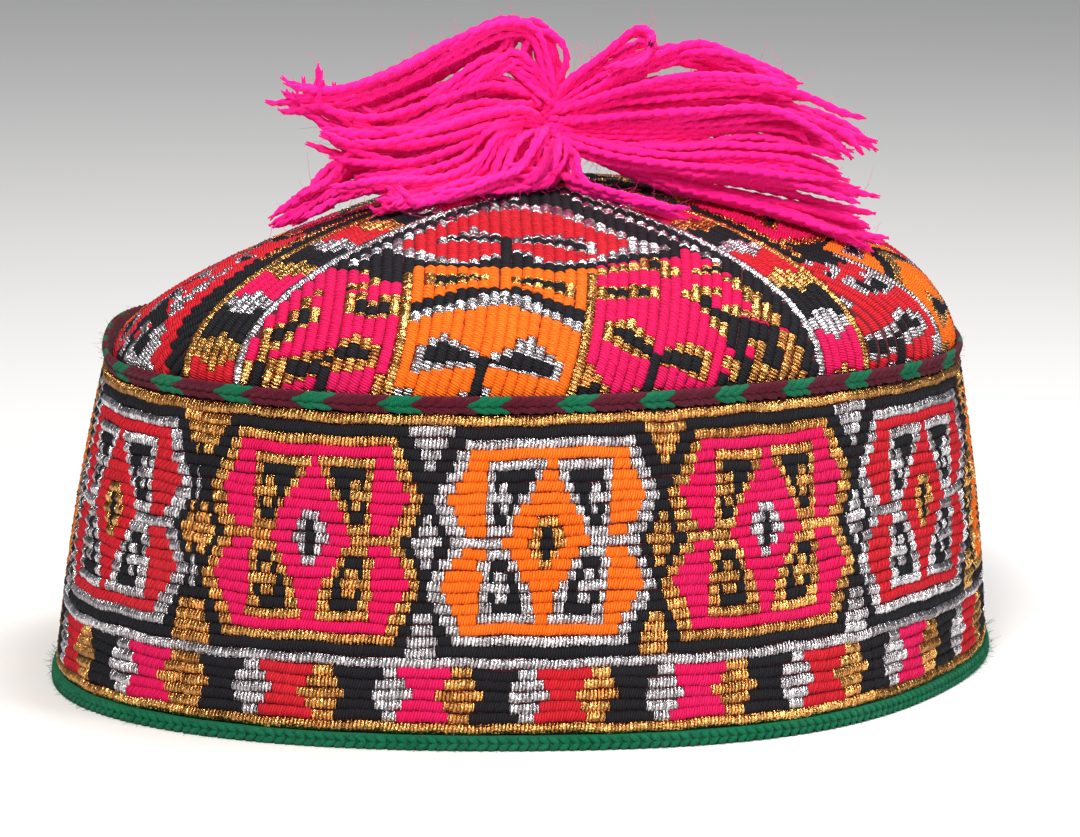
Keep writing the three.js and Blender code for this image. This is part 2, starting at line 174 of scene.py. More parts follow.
# The gores' chart, painted in this order: cells across from the middle, cells up from the foot
GORE_CHART = [
    ("orange", "-11.5 0, -13 6, -13 13.5, -12.5 18.5, 5.5 18.5, 4.5 12, 4 8, 4.5 0"),
    ("black", "-24 17.5, -24 60, 13 60, 13 20.5, 11.5 20, 10 20, 5.5 18.5, 1.5 17.5, -0.5 18, "
     "-12 18.5"),
    ("black", "-19 18.5, -12 18.5, -12 18, -12.5 15.5, -14 15, -15.5 16, -16.5 17.5, -18.5 17.5"),
    ("silver", "-14 22, -14 26, -12.5 27, -11 28.5, -8.5 31.5, -6.5 33.5, -4.5 34.5, -3 35, -1.5 35, "
     "0 34.5, 1 35, 5.5 29, 6.5 27.5, 8 26, 9 24.5, 10 23.5, 11.5 23, 12 22, 10 21, 8.5 21, 7 20.5, "
     "5.5 19.5, 4 19, 2 18.5, 0.5 19, -0.5 19, -2 21.5, -3.5 21.5, -4.5 20, -6.5 19, -8.5 19, -11 19.5, "
     "-13 20.5"),
    ("red", "-12.5 22.5, -12.5 25, -11.5 27, -10 29, -8.5 30.5, -6.5 32, -4.5 33, -3 33.5, -1.5 33, "
     "-0.5 32.5, 1 32, 2.5 30, 4 28.5, 5 27, 6.5 26, 7.5 24.5, 8 23.5, 7 22, 5 20.5, 4 19.5, 0.5 19.5, "
     "-2 22, -3.5 22, -4.5 21, -6 20.5, -7 19, -8.5 20, -10.5 21, -12 22"),
    ("black", "-4 20, -4 25, -3 25, -3 20"),
    ("silver", "-10 23.5, -9.5 25, -8 26, -7 27, -6.5 28, -5.5 26.5, -4 25.5, -3.5 25, -3.5 23.5, "
     "-6 24, -8.5 24"),
    ("black", "-9.5 24.5, -9 25, -6.5 25.5, -4.5 25.5, -3 25, -3 24, -5 24.5"),
    ("silver", "-2.5 25, -0.5 26, 3.5 25, 4.5 24, 5 22, 4.5 21, -0.5 23.5, -2.5 23.5"),
    ("black", "-2.5 24.5, 0 25, 2 24.5, 4 23.5, 4.5 22, 4 21.5, 3 22.5, 0.5 23.5, -1.5 24"),
    ("gold", "-11 15, -11 17, -5 17, -5 16, -7 15.5, -10 14.5"),
    ("black", "-10 15.5, -10 16.5, -5.5 16.5, -5.5 16, -7.5 16, -8.5 15.5"),
    ("gold", "-3 15.5, -2.5 16.5, 0 16, 2 15.5, 3.5 14.5, 3.5 13, 2 13, 0 14.5, -2 15"),
    ("black", "-2 15.5, -1.5 16, 2.5 15, 2.5 13.5, 1.5 14, 0 15"),
    ("black", "-12.5 9.5, -13 11.5, -11.5 12, -9 13.5, -7 14.5, -2.5 14.5, -1 14, 1 12.5, 4.5 10.5, "
     "4.5 9, 0.5 11, -1.5 13, -4 14, -8 12, -11 11"),
    ("silver", "-13 8.5, -13 9.5, -11 11, -8 12, -4 14, -1.5 13, 0.5 11, 4.5 9, 4.5 7.5, 3 8.5, 1 10, "
     "-1.5 11, -3.5 12, -5 11.5, -10 10.5"),
    ("silver", "-11 4, -11.5 5.5, -9.5 7.5, -9 8.5, -8 7.5, -5 6, -4.5 4.5, -6.5 4.5, -9 4"),
    ("black", "-10.5 5, -10 6, -9 7, -7 6.5, -5.5 5.5, -5 5"),
    ("silver", "-4 4.5, -4.5 5.5, -2.5 6.5, -1 8, 0.5 6.5, 2.5 5, 3.5 3"),
    ("black", "-4 5, -2.5 5.5, -1.5 6, 0 5.5, 2 4.5, 2.5 4, 2 3.5"),
    ("black", "-5 0, -5 5.5, -4 5.5, -4 0"),
    ("silver", "-6 0, -6 2, -5 2, -5 0"),
    ("silver", "-4 0, -4 2.5, -3 2.5, -3 0"),
    ("silver", "-11.5 0, -12 2.5, -10.5 2.5, -9.5 0"),
    ("gold", "-27.5 0, -24.5 6, -23.5 4.5, -22.5 2.5, -22 0"),
    ("black", "-25 0, -25.5 3, -24.5 4, -24 2, -24.5 0"),
    ("gold", "-24.5 6, -24.5 7.5, -23 8.5, -22.5 10, -22 11, -20 10.5, -20 9, -21.5 8, -22 6.5, "
     "-23.5 5.5"),
    ("black", "-24 6, -24 7.5, -23 8, -22 9, -21.5 10.5, -20.5 10, -20.5 9, -22 8, -23 6.5"),
    ("gold", "-22.5 2, -23 4.5, -18.5 6, -17 7.5, -16 7.5, -14.5 6.5, -14 4.5, -18 3.5, -19 3, "
     "-21 2.5"),
    ("black", "-22 3.5, -22 4.5, -20 4.5, -18.5 5, -17 6.5, -16 6.5, -15.5 6, -15 5, -17 5, -18.5 4.5, "
     "-19 3.5, -21 3"),
    ("black", "-19 0, -19 4, -18 4, -18 0"),
    ("gold", "-20 0, -20 2, -19 2, -19 0"),
    ("gold", "-18 0, -18 2, -17 2, -17 0"),
    ("gold", "-14 0, -14 3.5, -12.5 4, -11.5 0"),
    ("black", "-13 0, -13 2, -12 2, -11.5 0"),
    ("gold", "-18.5 10.5, -18 12.5, -17 13.5, -16 13, -16 11.5, -14.5 13, -13 13, -13 10, -15.5 9.5, "
     "-17.5 10"),
    ("black", "-17.5 11, -17 12.5, -16 12, -16 11, -14 12, -13.5 12.5, -13.5 10.5, -15.5 10, -17 10.5"),
    ("gold", "-22 11, -21.5 12, -20.5 12, -20.5 11"),
    ("gold", "-21 12.5, -21 13.5, -19.5 14, -19.5 12.5"),
    ("gold", "-18.5 13, -18 14.5, -16 15.5, -17 17.5, -16.5 17.5, -15.5 16, -15 15, -16.5 14"),
    ("black", "-18 14, -16.5 15, -16.5 14.5, -17.5 14"),
    ("gold", "4.5 0, 4 4, 5.5 4.5, 7.5 2.5, 8.5 0"),
    ("black", "5.5 0, 5.5 2.5, 6 3.5, 7 2, 7.5 0"),
    ("gold", "6 7.5, 6 9, 7 9.5, 8.5 9.5, 10 8, 11.5 6, 11.5 4.5, 10 5, 8 6"),
    ("black", "7 8, 7.5 8.5, 8 8.5, 10 7, 11 5.5, 10.5 5.5, 8.5 6.5"),
    ("gold", "12 4, 12 6, 14 6.5, 16 6, 17 4.5, 17.5 2.5, 17 2, 13 4"),
    ("black", "11.5 4.5, 12.5 5.5, 14 5.5, 15.5 5, 16.5 4, 16.5 3, 14.5 3.5, 13 4.5"),
    ("black", "11 0, 11 5.5, 12 5.5, 12 0"),
    ("gold", "10 0, 10 2, 11 2, 11 0"),
    ("gold", "12 0, 12 2, 13 2, 13 0"),
    ("gold", "5 12.5, 5.5 14.5, 8 14.5, 8.5 15, 11 14.5, 11.5 12.5"),
    ("black", "5.5 13, 6 14, 8 14, 8 13"),
    ("black", "8.5 13, 9 14.5, 10.5 13.5, 10.5 13"),
    ("gold", "5 16.5, 5.5 18, 7 18.5, 9 19, 10 19, 10 18, 9 17.5, 7.5 17.5, 6 17, 5 16"),
    ("gold", "9.5 20, 11 20, 12 18.5, 13 17.5, 12.5 16, 11.5 16, 11 17, 10 18, 9.5 19"),
    ("black", "10 19.5, 10.5 19.5, 11 18.5, 11.5 17, 11.5 16.5, 11 17.5, 10 18.5"),
    ("gold", "14 17.5, 15 18, 16.5 18.5, 17.5 17.5, 16.5 16.5, 14.5 16.5"),
    ("black", "15 17.5, 16.5 18, 17 17.5, 16.5 17, 15.5 17"),
    ("gold", "13 13.5, 14.5 14.5, 16.5 14, 17 13, 16 12.5, 14.5 12.5, 15.5 11.5, 16 10.5, 16 10, "
     "15.5 10, 14.5 11.5, 14 12.5, 13.5 12.5"),
    ("black", "14.5 12.5, 15 13, 16 12.5, 16.5 11.5, 16.5 10.5, 15.5 11, 15 12"),
    ("gold", "17.5 16, 18.5 15.5, 19.5 14, 21 12.5, 21.5 11.5, 20.5 10.5, 19.5 11.5, 19 13, 18 14, "
     "17.5 15"),
    ("gold", "20 10.5, 21 11.5, 22 10.5, 23.5 8, 23.5 7.5, 19.5 9.5, 18 9.5, 17 10, 17 11, 18.5 11, "
     "20 10"),
    ("black", "16 11, 17 10.5, 18 9.5, 19.5 9, 21.5 8, 22.5 8, 23 6, 24 3.5, 23.5 3, 23 3.5, 22 6, "
     "21 6.5, 20 6.5, 20 5, 21 3.5, 21.5 2, 22 0, 21 0, 19 4, 18 7, 17 9, 16 10"),
    ("gold", "20 6.5, 21 6.5, 22 5.5, 22 4.5, 23.5 3, 24 3, 24 4, 23.5 4.5, 23 7, 24 7, 25 6, 26 4, "
     "26.5 2.5, 27 0.5, 23 0.5, 21.5 1.5, 21 3.5, 21.5 4.5, 20 6"),
    ("black", "22 6, 22.5 6, 23.5 5, 24 3.5, 23.5 3, 22.5 3.5, 22 4.5"),
    ("gold", "16 9.5, 16.5 9.5, 18 8, 18 7, 18.5 6, 18.5 5.5, 18 6, 17.5 7, 16 8.5"),
    ("gold", "18.5 4.5, 19 5, 19.5 4, 20 2.5, 21 0, 20 0, 19.5 1.5, 19.5 2.5, 18.5 3.5"),
    ("black", "17.5 0, 18 3, 18 3.5, 19.5 2, 20.5 0"),
]

THREADS = ["black", "pink", "red", "orange", "silver", "gold", "ground", "lining"]
METALS = ("silver", "gold")
SIDE_SWAP = {"pink": "red", "red": "pink", "gold": "silver", "silver": "gold"}


def ring_section(sides):
    """A round section with a few sides."""
    turns = [k * math.tau / sides for k in range(sides)]
    return np.array([(math.cos(turn), -math.sin(turn)) for turn in turns])


ROUND_SECTION = ring_section(5)
PLY_SECTION = ring_section(4)
FIBRE_SECTION = ring_section(3)


def places_in(text):
    """Pairs of numbers written as words, as rows of an array."""
    return np.array([[float(n) for n in pair.split()] for pair in text.split(",")])


def plan(heading, level=1.0):
    """Outline in plan as a factor on a mean radius: an oval pressed flat at its sides; level 0 is the rim."""
    turned = 2 * (heading - OVAL_HEADING)
    oval = 1 + (OVAL_AT_RIM + (OVAL_AT_SEAM - OVAL_AT_RIM) * level) * np.cos(turned)
    oval = oval + SQUARENESS_AT_RIM * (1 - level) * np.cos(2 * turned)
    limit = SIDE_LIMIT_AT_RIM + (SIDE_LIMIT_AT_SEAM - SIDE_LIMIT_AT_RIM) * level
    pressed = np.abs(np.sin(heading)) / limit
    return (oval**-SIDE_SHARPNESS + pressed**SIDE_SHARPNESS) ** (-1 / SIDE_SHARPNESS)


def level_at(height):
    return np.clip(np.asarray(height, float) / BAND_TOP, 0, 1)


def edge_lengths():
    heading = np.linspace(0, math.tau, EDGE_STEPS + 1)
    edge = polar(heading, plan(heading, 0.5), 0.0)
    return np.concatenate([[0], np.cumsum(np.linalg.norm(np.diff(edge, axis=0), axis=1))])


def heading_at(share):
    """Heading at a share of the way round, evenly along the cap's edge, from the front to the right."""
    turns = np.floor(share)
    lengths = edge_lengths()
    sought = (np.asarray(share, float) - turns) * lengths[-1]
    return math.tau * (turns + np.interp(sought, lengths, np.arange(EDGE_STEPS + 1)) / EDGE_STEPS)


def polar(heading, radius, height):
    heading, radius, height = np.broadcast_arrays(heading, radius, height)
    return np.stack([radius * np.sin(heading), -radius * np.cos(heading), height], -1)


def unit(vectors):
    return vectors / np.maximum(np.linalg.norm(vectors, axis=-1, keepdims=True), 1e-9)


def band_radius(height):
    share = (np.asarray(height, float) - BAND_FOOT) / (BAND_TOP - BAND_FOOT)
    return RIM_RADIUS + (SEAM_RADIUS - RIM_RADIUS) * share + BAND_SWELL * 4 * share * (1 - share)


def band_point(heading, height, inside=0.0):
    return polar(heading, (band_radius(height) - inside) * plan(heading, level_at(height)), height)


def shoulder(heading):
    turn = (heading - SLUMP_HEADING + math.pi) % math.tau - math.pi
    full = FULLNESS * np.cos(heading - FULL_HEADING)
    return SHOULDER - full + SLUMP * np.exp(-((turn / SLUMP_SPREAD) ** 2))


def crown_share(climb):
    """Share of the crown's radius at a climb from 0 at the foot to 1 at the top."""
    return np.maximum(0, 1 - np.asarray(climb, float) ** CLIMB_POWER) ** (1 / DOME_POWER)


def crown_climb(share):
    return np.maximum(0, 1 - np.minimum(share, 1) ** DOME_POWER) ** (1 / CLIMB_POWER)


def crown_point(heading, climb, inside=0.0):
    rise = (CROWN_RISE - inside) * np.asarray(climb, float) ** (CLIMB_POWER * shoulder(heading))
    tuck = CROWN_TUCK * np.maximum(0, 1 - rise / TUCK_HEIGHT) ** 2
    radius = crown_share(climb) * (CROWN_RADIUS - inside) * plan(heading) - tuck
    return polar(heading, radius, CROWN_FOOT + rise)


def crown_normal(heading, climb):
    low, high = np.clip(climb - 0.01, 0, 1), np.clip(climb + 0.01, 0, 1)
    up = crown_point(heading, high) - crown_point(heading, low)
    round_ = crown_point(heading + 0.01, climb) - crown_point(heading - 0.01, climb)
    normal = unit(np.cross(round_, up))
    flat = np.linalg.norm(round_, axis=-1, keepdims=True) < 0.02
    return np.where(flat, np.array([0.0, 0.0, 1.0]), normal)


def crown_height(x, y):
    heading = np.arctan2(x, -y)
    share = np.hypot(x, y) / (CROWN_RADIUS * plan(heading))
    height = CROWN_RISE * crown_climb(share) ** (CLIMB_POWER * shoulder(heading))
    return np.where(share < 1, CROWN_FOOT + height, 0.0)


def strip_half_angle(radius, half_width=STRIP_HALF_WIDTH):
    straight = np.arcsin(np.minimum(1, half_width / np.maximum(radius, 1e-6)))
    return np.minimum(straight, STRIP_LARGEST_HALF_ANGLE * half_width / STRIP_HALF_WIDTH)


class Weave:
    """Gathers closed bodies, each with its thread and its place along and around the thread."""

    def __init__(self, threads):
        self.threads = threads
        self.points, self.marks, self.quads, self.tris = [], [], [], []
        self.quad_threads, self.tri_threads = [], []
        self.count = 0

    def _take(self, points, marks):
        first = self.count
        self.points.append(points)
        self.marks.append(marks)
        self.count += len(points)
        return first

    def tube(self, rings, along, thread, luck, flat_foot=False):
        """A body through rings of points, with a fan of faces at each end; a cord has no face at its foot."""
        steps, sides = rings.shape[:2]
        around = np.linspace(0, 1, sides)
        marks = np.empty((steps, sides, 3))
        marks[..., 0] = along[:, None]
        marks[..., 1] = around[None]
        marks[..., 2] = luck
        ends = rings[[0, -1]].mean(1)
        end_marks = np.array([(along[0], 0.5, luck), (along[-1], 0.5, luck)])
        points = np.concatenate([rings.reshape(-1, 3), ends])
        first = self._take(points, np.concatenate([marks.reshape(-1, 3), end_marks]))
        here = np.arange(steps * sides).reshape(steps, sides) + first
        turn = np.roll(here, -1, 1)
        quads = np.stack([here[:-1], turn[:-1], turn[1:], here[1:]], -1)
        quads = (quads[:, :-1] if flat_foot else quads).reshape(-1, 4)
        low, high = first + steps * sides, first + steps * sides + 1
        tris = np.concatenate([
            np.stack([np.full(sides, low), turn[0], here[0]], -1),
            np.stack([np.full(sides, high), here[-1], turn[-1]], -1),
        ])
        index = self.threads.index(thread)
        self.quads.append(quads)
        self.tris.append(tris)
        self.quad_threads.append(np.full(len(quads), index))
        self.tri_threads.append(np.full(len(tris), index))

    def wall(self, outer, inner, closed, outer_thread, inner_thread):
        """A cloth wall between two grids of points, row by row; closed joins the last column to the first."""
        rows, columns = outer.shape[:2]
        points = np.concatenate([outer.reshape(-1, 3), inner.reshape(-1, 3)])
        marks = np.zeros((len(points), 3))
        first = self._take(points, marks)
        out = np.arange(rows * columns).reshape(rows, columns) + first
        back = out + rows * columns
        skins = []
        for grid, thread, flip in ((out, outer_thread, False), (back, inner_thread, True)):
            right = np.roll(grid, -1, 1) if closed else grid[:, 1:]
            left = grid if closed else grid[:, :-1]
            quads = np.stack([left[:-1], right[:-1], right[1:], left[1:]], -1).reshape(-1, 4)
            skins.append((quads[:, ::-1] if flip else quads, thread))
        edges = [(out[0], back[0], True), (out[-1], back[-1], False)]
        if not closed:
            edges += [(out[:, 0], back[:, 0], False), (out[:, -1], back[:, -1], True)]
        for line, behind, flip in edges:
            after = np.roll(line, -1) if closed else line[1:]
            after_behind = np.roll(behind, -1) if closed else behind[1:]
            if not closed:
                line, behind = line[:-1], behind[:-1]
            quads = np.stack([line, after, after_behind, behind], -1)
            skins.append((quads[:, ::-1] if flip else quads, outer_thread))
        for quads, thread in skins:
            self.quads.append(quads)
            self.quad_threads.append(np.full(len(quads), self.threads.index(thread)))

    def piece(self, name):
        points = np.concatenate(self.points) * 0.001
        quads = np.concatenate(self.quads)
        tris = np.concatenate(self.tris) if self.tris else np.zeros((0, 3), int)
        indices = np.concatenate(self.quad_threads + self.tri_threads)
        mesh = bpy.data.meshes.new(name)
        mesh.vertices.add(len(points))
        mesh.vertices.foreach_set("co", points.ravel())
        mesh.loops.add(quads.size + tris.size)
        mesh.loops.foreach_set("vertex_index", np.concatenate([quads.ravel(), tris.ravel()]).astype(np.int32))
        mesh.polygons.add(len(quads) + len(tris))
        starts = np.concatenate([np.arange(len(quads)) * 4, quads.size + np.arange(len(tris)) * 3])
        mesh.polygons.foreach_set("loop_start", starts.astype(np.int32))
        mesh.polygons.foreach_set("material_index", indices.astype(np.int32))
        mesh.polygons.foreach_set("use_smooth", np.ones(len(indices), bool))
        marks = mesh.attributes.new("thread", "FLOAT_VECTOR", "POINT")
        marks.data.foreach_set("vector", np.concatenate(self.marks).ravel())
        for thread in self.threads:
            mesh.materials.append(FINISH[thread])
        mesh.update()
        mesh.validate()
        piece = bpy.data.objects.new(name, mesh)
        bpy.context.scene.collection.objects.link(piece)
        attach(piece, "root")
        return piece


class CordPath:
    """A rib of the embroidery: points and outward normals with the length along them."""

    def __init__(self, points, normals, width=CORD):
        lengths = np.linalg.norm(np.diff(points, axis=0), axis=1)
        self.along = np.concatenate([[0], np.cumsum(lengths)])
        tangents = unit(np.gradient(points, axis=0))
        self.table = np.concatenate([points, normals, tangents], 1)
        self.width = np.broadcast_to(width, self.along.shape)

    @property
    def length(self):
        return self.along[-1]

    def at(self, places):
        found = np.stack([np.interp(places, self.along, column) for column in self.table.T], -1)
        width = np.interp(places, self.along, self.width)
        return found[:, :3], unit(found[:, 3:6]), unit(found[:, 6:]), width


def rings_along(points, normals, tangents, section, wide, high):
    sides = unit(np.cross(tangents, normals))
    across = sides[:, None] * (section[None, :, :1] * wide[:, None, None])
    rise = normals[:, None] * (section[None, :, 1:] * high[:, None, None])
    return points[:, None] + across + rise


def lay_run(weave, path, start, end, thread):
    """One colour run of a cord, wrapped across in full turns: metal thread stands out more than silk."""
    start, end = max(start, 0) + RUN_GAP, min(end, path.length) - RUN_GAP
    if end - start < SHORTEST_RUN:
        return
    wrap, valley = (METAL_WRAP, METAL_VALLEY) if thread in METALS else (SILK_WRAP, SILK_VALLEY)
    count = 2 * max(1, round((end - start) / wrap)) + 1
    swell = np.where(np.arange(count) % 2, 1.0, valley) + chance.normal(0, WRAP_UNEVENNESS, count)
    swell[[0, -1]] = END_SWELL
    places = np.linspace(start, end, count)
    points, normals, tangents, width = path.at(places)
    aside = chance.normal(0, RUN_DRIFT) + chance.normal(0, WRAP_DRIFT, count)
    foot = points - normals * CORD_SINK + np.cross(tangents, normals) * aside[:, None]
    high = CORD_HEIGHT * swell * np.minimum(1, width / CORD * NARROW_CORD_HEIGHT)
    wide = width * CORD_OVERLAP * (0.5 + 0.5 * swell)
    rings = rings_along(foot, normals, tangents, CORD_SECTION, wide, high)
    weave.tube(rings, places, thread, chance.random(), flat_foot=True)


def uneven(runs):
    """Runs whose shared ends are a little out of place, as in work counted by hand."""
    kept = [list(run) for run in runs]
    for before, after in zip(kept[:-1], kept[1:]):
        room = min(before[1] - before[0], after[1] - after[0]) * LARGEST_SLIP
        shift = float(np.clip(chance.normal(0, COUNT_SLIP), -room, room))
        before[1] += shift
        after[0] += shift
    return kept


def merged(runs):
    """Runs in order with neighbours of the same thread joined."""
    kept = []
    for start, end, thread in sorted(runs):
        if kept and kept[-1][2] == thread and start - kept[-1][1] < 1e-6:
            kept[-1] = (kept[-1][0], end, thread)
        elif end > start:
            kept.append((start, end, thread))
    return kept


def outline_metal(place):
    silk = MAIN_SILK[place % MEDALLIONS]
    if silk == "orange":
        return "gold" if place % MEDALLIONS in GOLD_ORANGES else "silver"
    return OUTLINE_METAL[silk]


def medallion_runs(row, place):
    """A row of one medallion and its half dividers, in cells round the band from the front."""
    outline = outline_metal(place)
    dividers = ("gold", "silver") if place % 2 == 0 else ("silver", "gold")
    middle = place * MEDALLION_CELLS
    threads = {"M": MAIN_SILK[place % MEDALLIONS], "O": outline, "C": SIDE_SWAP[outline], "K": "black"}
    runs, start = [], 0.0
    for word in row.split():
        end = float(word[1:])
        right = threads.get(word[0], dividers[0])
        left = threads.get(word[0], dividers[1])
        runs.append((middle + start, middle + end, right))
        runs.append((middle - end, middle - start, left))
        start = end
    return runs


def block_runs(widths, repeat, middle, threads):
    """A silk block about its middle, then the three blocks up to the next silk block."""
    scale = repeat / sum(widths)
    place = middle - widths[0] * scale / 2
    runs = []
    for width, thread in zip(widths, threads):
        runs.append((place, place + width * scale, thread))
        place += width * scale
    return runs


def band_runs(row):
    """Colour runs of one of the band's rows, counted from the seam down, for four medallions too many."""
    places = range(-2, MEDALLIONS + 2)
    reach = (-2.5 * MEDALLION_CELLS, (MEDALLIONS + 1.5) * MEDALLION_CELLS)
    if row in (0, BAND_ROWS - 1):
        return [(*reach, "gold")]
    if row <= len(MEDALLION):
        return merged([run for place in places for run in medallion_runs(MEDALLION[row - 1], place)])
    if row == len(MEDALLION) + 1:
        return [(*reach, "silver")]
    widths = BORDER[row - len(MEDALLION) - 2]
    runs = []
    for turn in range(-5, 24):
        silk = "red" if turn % 2 == 0 else "pink"
        middle = BORDER_START + turn * BORDER_REPEAT
        runs += block_runs(widths, BORDER_REPEAT, middle, (silk, "gold", "black", "silver"))
    return runs


def grown(cells, start, over):
    """From 0 at one cell to 1 some cells further on."""
    return np.clip((cells - start) / over, 0, 1)


def band_lean(cells, row):
    """How far the pattern runs aside, in cells: in every row on the left, more to the rim on the right."""
    right = grown(cells, -16, 28) * grown(-cells, -70, 25)
    left = grown(-cells, 11, 30) * grown(cells, -100, 30)
    return LEAN_LEFT * left - LEAN_RIGHT * (row / LEAN_ROWS) ** LEAN_POWER * right


def row_wander(cells, row):
    """How far a row of cords strays from its height, in millimetres."""
    return sum(size * np.sin(a_cell * cells + a_row * row) for size, a_cell, a_row in ROW_WANDERS)


def band_quarter(name, turn):
    """The embroidery of a quarter of the band, three medallions wide."""
    weave = Weave(THREADS)
    low, high = (turn - 0.5) * CELLS_ROUND / 4, (turn + 0.5) * CELLS_ROUND / 4
    for row in range(BAND_ROWS):
        height = BAND_TOP - (row + 0.5) * CORD
        cells = np.linspace(low, high, 241)
        heading = heading_at(cells / CELLS_ROUND)
        points = band_point(heading, height + row_wander(cells, row))
        ahead = np.gradient(points, axis=0)
        up = band_point(heading, height + 1) - points
        path = CordPath(points, unit(np.cross(ahead, up)))
        for start, end, thread in uneven(band_runs(row)):
            start = max(start + band_lean(start, row), low)
            end = min(end + band_lean(end, row), high)
            if end > start:
                places = np.interp([start, end], cells, path.along)
                lay_run(weave, path, places[0], places[1], thread)
    return weave.piece("band_embroidery_" + name)


def band_cloth():
    weave = Weave(THREADS)
    heading = heading_at(np.arange(144) / 144)[None]
    height = np.linspace(BAND_FOOT, BAND_TOP, 12)[:, None]
    outer, inner = band_point(heading, height, CLOTH_DEPTH), band_point(heading, height, WALL)
    weave.wall(outer, inner, True, "ground", "lining")
    return weave.piece("band_cloth")


def gore_thread(thread, swap):
    """The chart's thread, or the one in its place on the side gores."""
    return SIDE_SWAP.get(thread, thread) if swap else thread


def chart_polygons(swap):
    return [(gore_thread(thread, swap), places_in(text)) for thread, text in GORE_CHART]


def column_spans(corners, across):
    """Stretches of a chart column that lie inside a closed outline."""
    ahead = np.roll(corners, -1, 0)
    cut = (corners[:, 0] > across) != (ahead[:, 0] > across)
    a, b = corners[cut], ahead[cut]
    heights = np.sort(a[:, 1] + (across - a[:, 0]) / (b[:, 0] - a[:, 0]) * (b[:, 1] - a[:, 1]))
    return list(zip(heights[::2], heights[1::2]))


def column_runs(polygons, across, top, swap):
    """Colour runs of one gore rib, from its foot to its top, in cells."""
    marks = [(0.0, top, gore_thread("pink", swap))]
    if across > GORE_SIDE_FROM:
        marks.append((top - GORE_SIDE_BLACK, top, "black"))
    for thread, corners in polygons:
        marks += [(low, high, thread) for low, high in column_spans(corners, across)]
    if any(abs(across - line) < 0.3 for line in GORE_LINES):
        marks.append((0.0, GORE_LINE_TOP, gore_thread("gold", swap)))
    for low, high, thread in GORE_EDGE:
        if top - high > GORE_EDGE_FROM:
            marks.append((max(top - low, GORE_EDGE_FROM), top - high, gore_thread(thread, swap)))
    edges = np.unique(np.clip([edge for mark in marks for edge in mark[:2]], 0, top))
    runs = []
    for low, high in zip(edges[:-1], edges[1:]):
        middle = (low + high) / 2
        thread = [mark[2] for mark in marks if mark[0] <= middle <= mark[1]][-1]
        runs.append((low, high, thread))
    return merged(runs)


def gore_rib(middle, left, right, across):
    """Path of a gore rib: it leans over near the foot, then runs straight back to the strips."""
    climb = np.sin(np.linspace(0, math.pi / 2, RIB_STEPS))
    heading = np.full_like(climb, middle)
    for _ in range(16):
        rise = climb ** (CLIMB_POWER * shoulder(heading))
        radius = crown_share(climb) * CROWN_RADIUS * plan(heading)
        side = across * CORD - GORE_LEAN * np.exp(-((rise / GORE_LEAN_RISE) ** GORE_LEAN_POWER))
        heading = middle + np.arcsin(np.clip(side / np.maximum(radius, 1e-6), -1, 1))
    edge = strip_half_angle(radius, STRIP_HALF_WIDTH + GAP / 2)
    inside = (np.abs(side) < radius) & (heading > left + edge) & (heading < right - edge)
    inside &= radius > APEX_OPENING
    if inside.sum() < FEWEST_POINTS:
        return None
    first = np.argmax(inside)
    last = first + np.argmin(inside[first:]) if not inside[first:].all() else len(inside)
    if last - first < FEWEST_POINTS:
        return None
    return CordPath(crown_point(heading[first:last], climb[first:last]),
                    crown_normal(heading[first:last], climb[first:last]))


def gore(name, turn, swap):
    weave = Weave(THREADS)
    middle, left, right = (float(heading_at((turn + part) / 4)) for part in (0, -0.5, 0.5))
    polygons = chart_polygons(swap)
    for number in range(-GORE_RIBS, GORE_RIBS):
        across = number + 0.5
        path = gore_rib(middle, left, right, across)
        if path is None:
            continue
        base = path.table[0, 2] - CROWN_FOOT
        for low, high, thread in uneven(column_runs(polygons, across, (path.length + base) / CORD, swap)):
            lay_run(weave, path, low * CORD - base, high * CORD - base, thread)
    crown_wall(weave, lambda radius: left + strip_half_angle(radius, STRIP_HALF_WIDTH + GAP),
               lambda radius: right - strip_half_angle(radius, STRIP_HALF_WIDTH + GAP), 28)
    return weave.piece("crown_gore_cloth_" + name)


def crown_wall(weave, left_edge, right_edge, columns):
    """Cloth under part of the crown, from the foot to the opening at its top."""
    top = crown_climb(APEX_OPENING / CROWN_RADIUS)
    climb = (np.linspace(0.0, 1, 28) ** 1.2 * top)[:, None]
    grids = []
    for inside in (CLOTH_DEPTH, WALL):
        radius = crown_share(climb) * CROWN_RADIUS
        low, high = left_edge(radius), right_edge(radius)
        heading = low + (high - low) * np.linspace(0, 1, columns)[None]
        grids.append(crown_point(heading, np.broadcast_to(climb, heading.shape), inside))
    weave.wall(grids[0], grids[1], False, "ground", "lining")


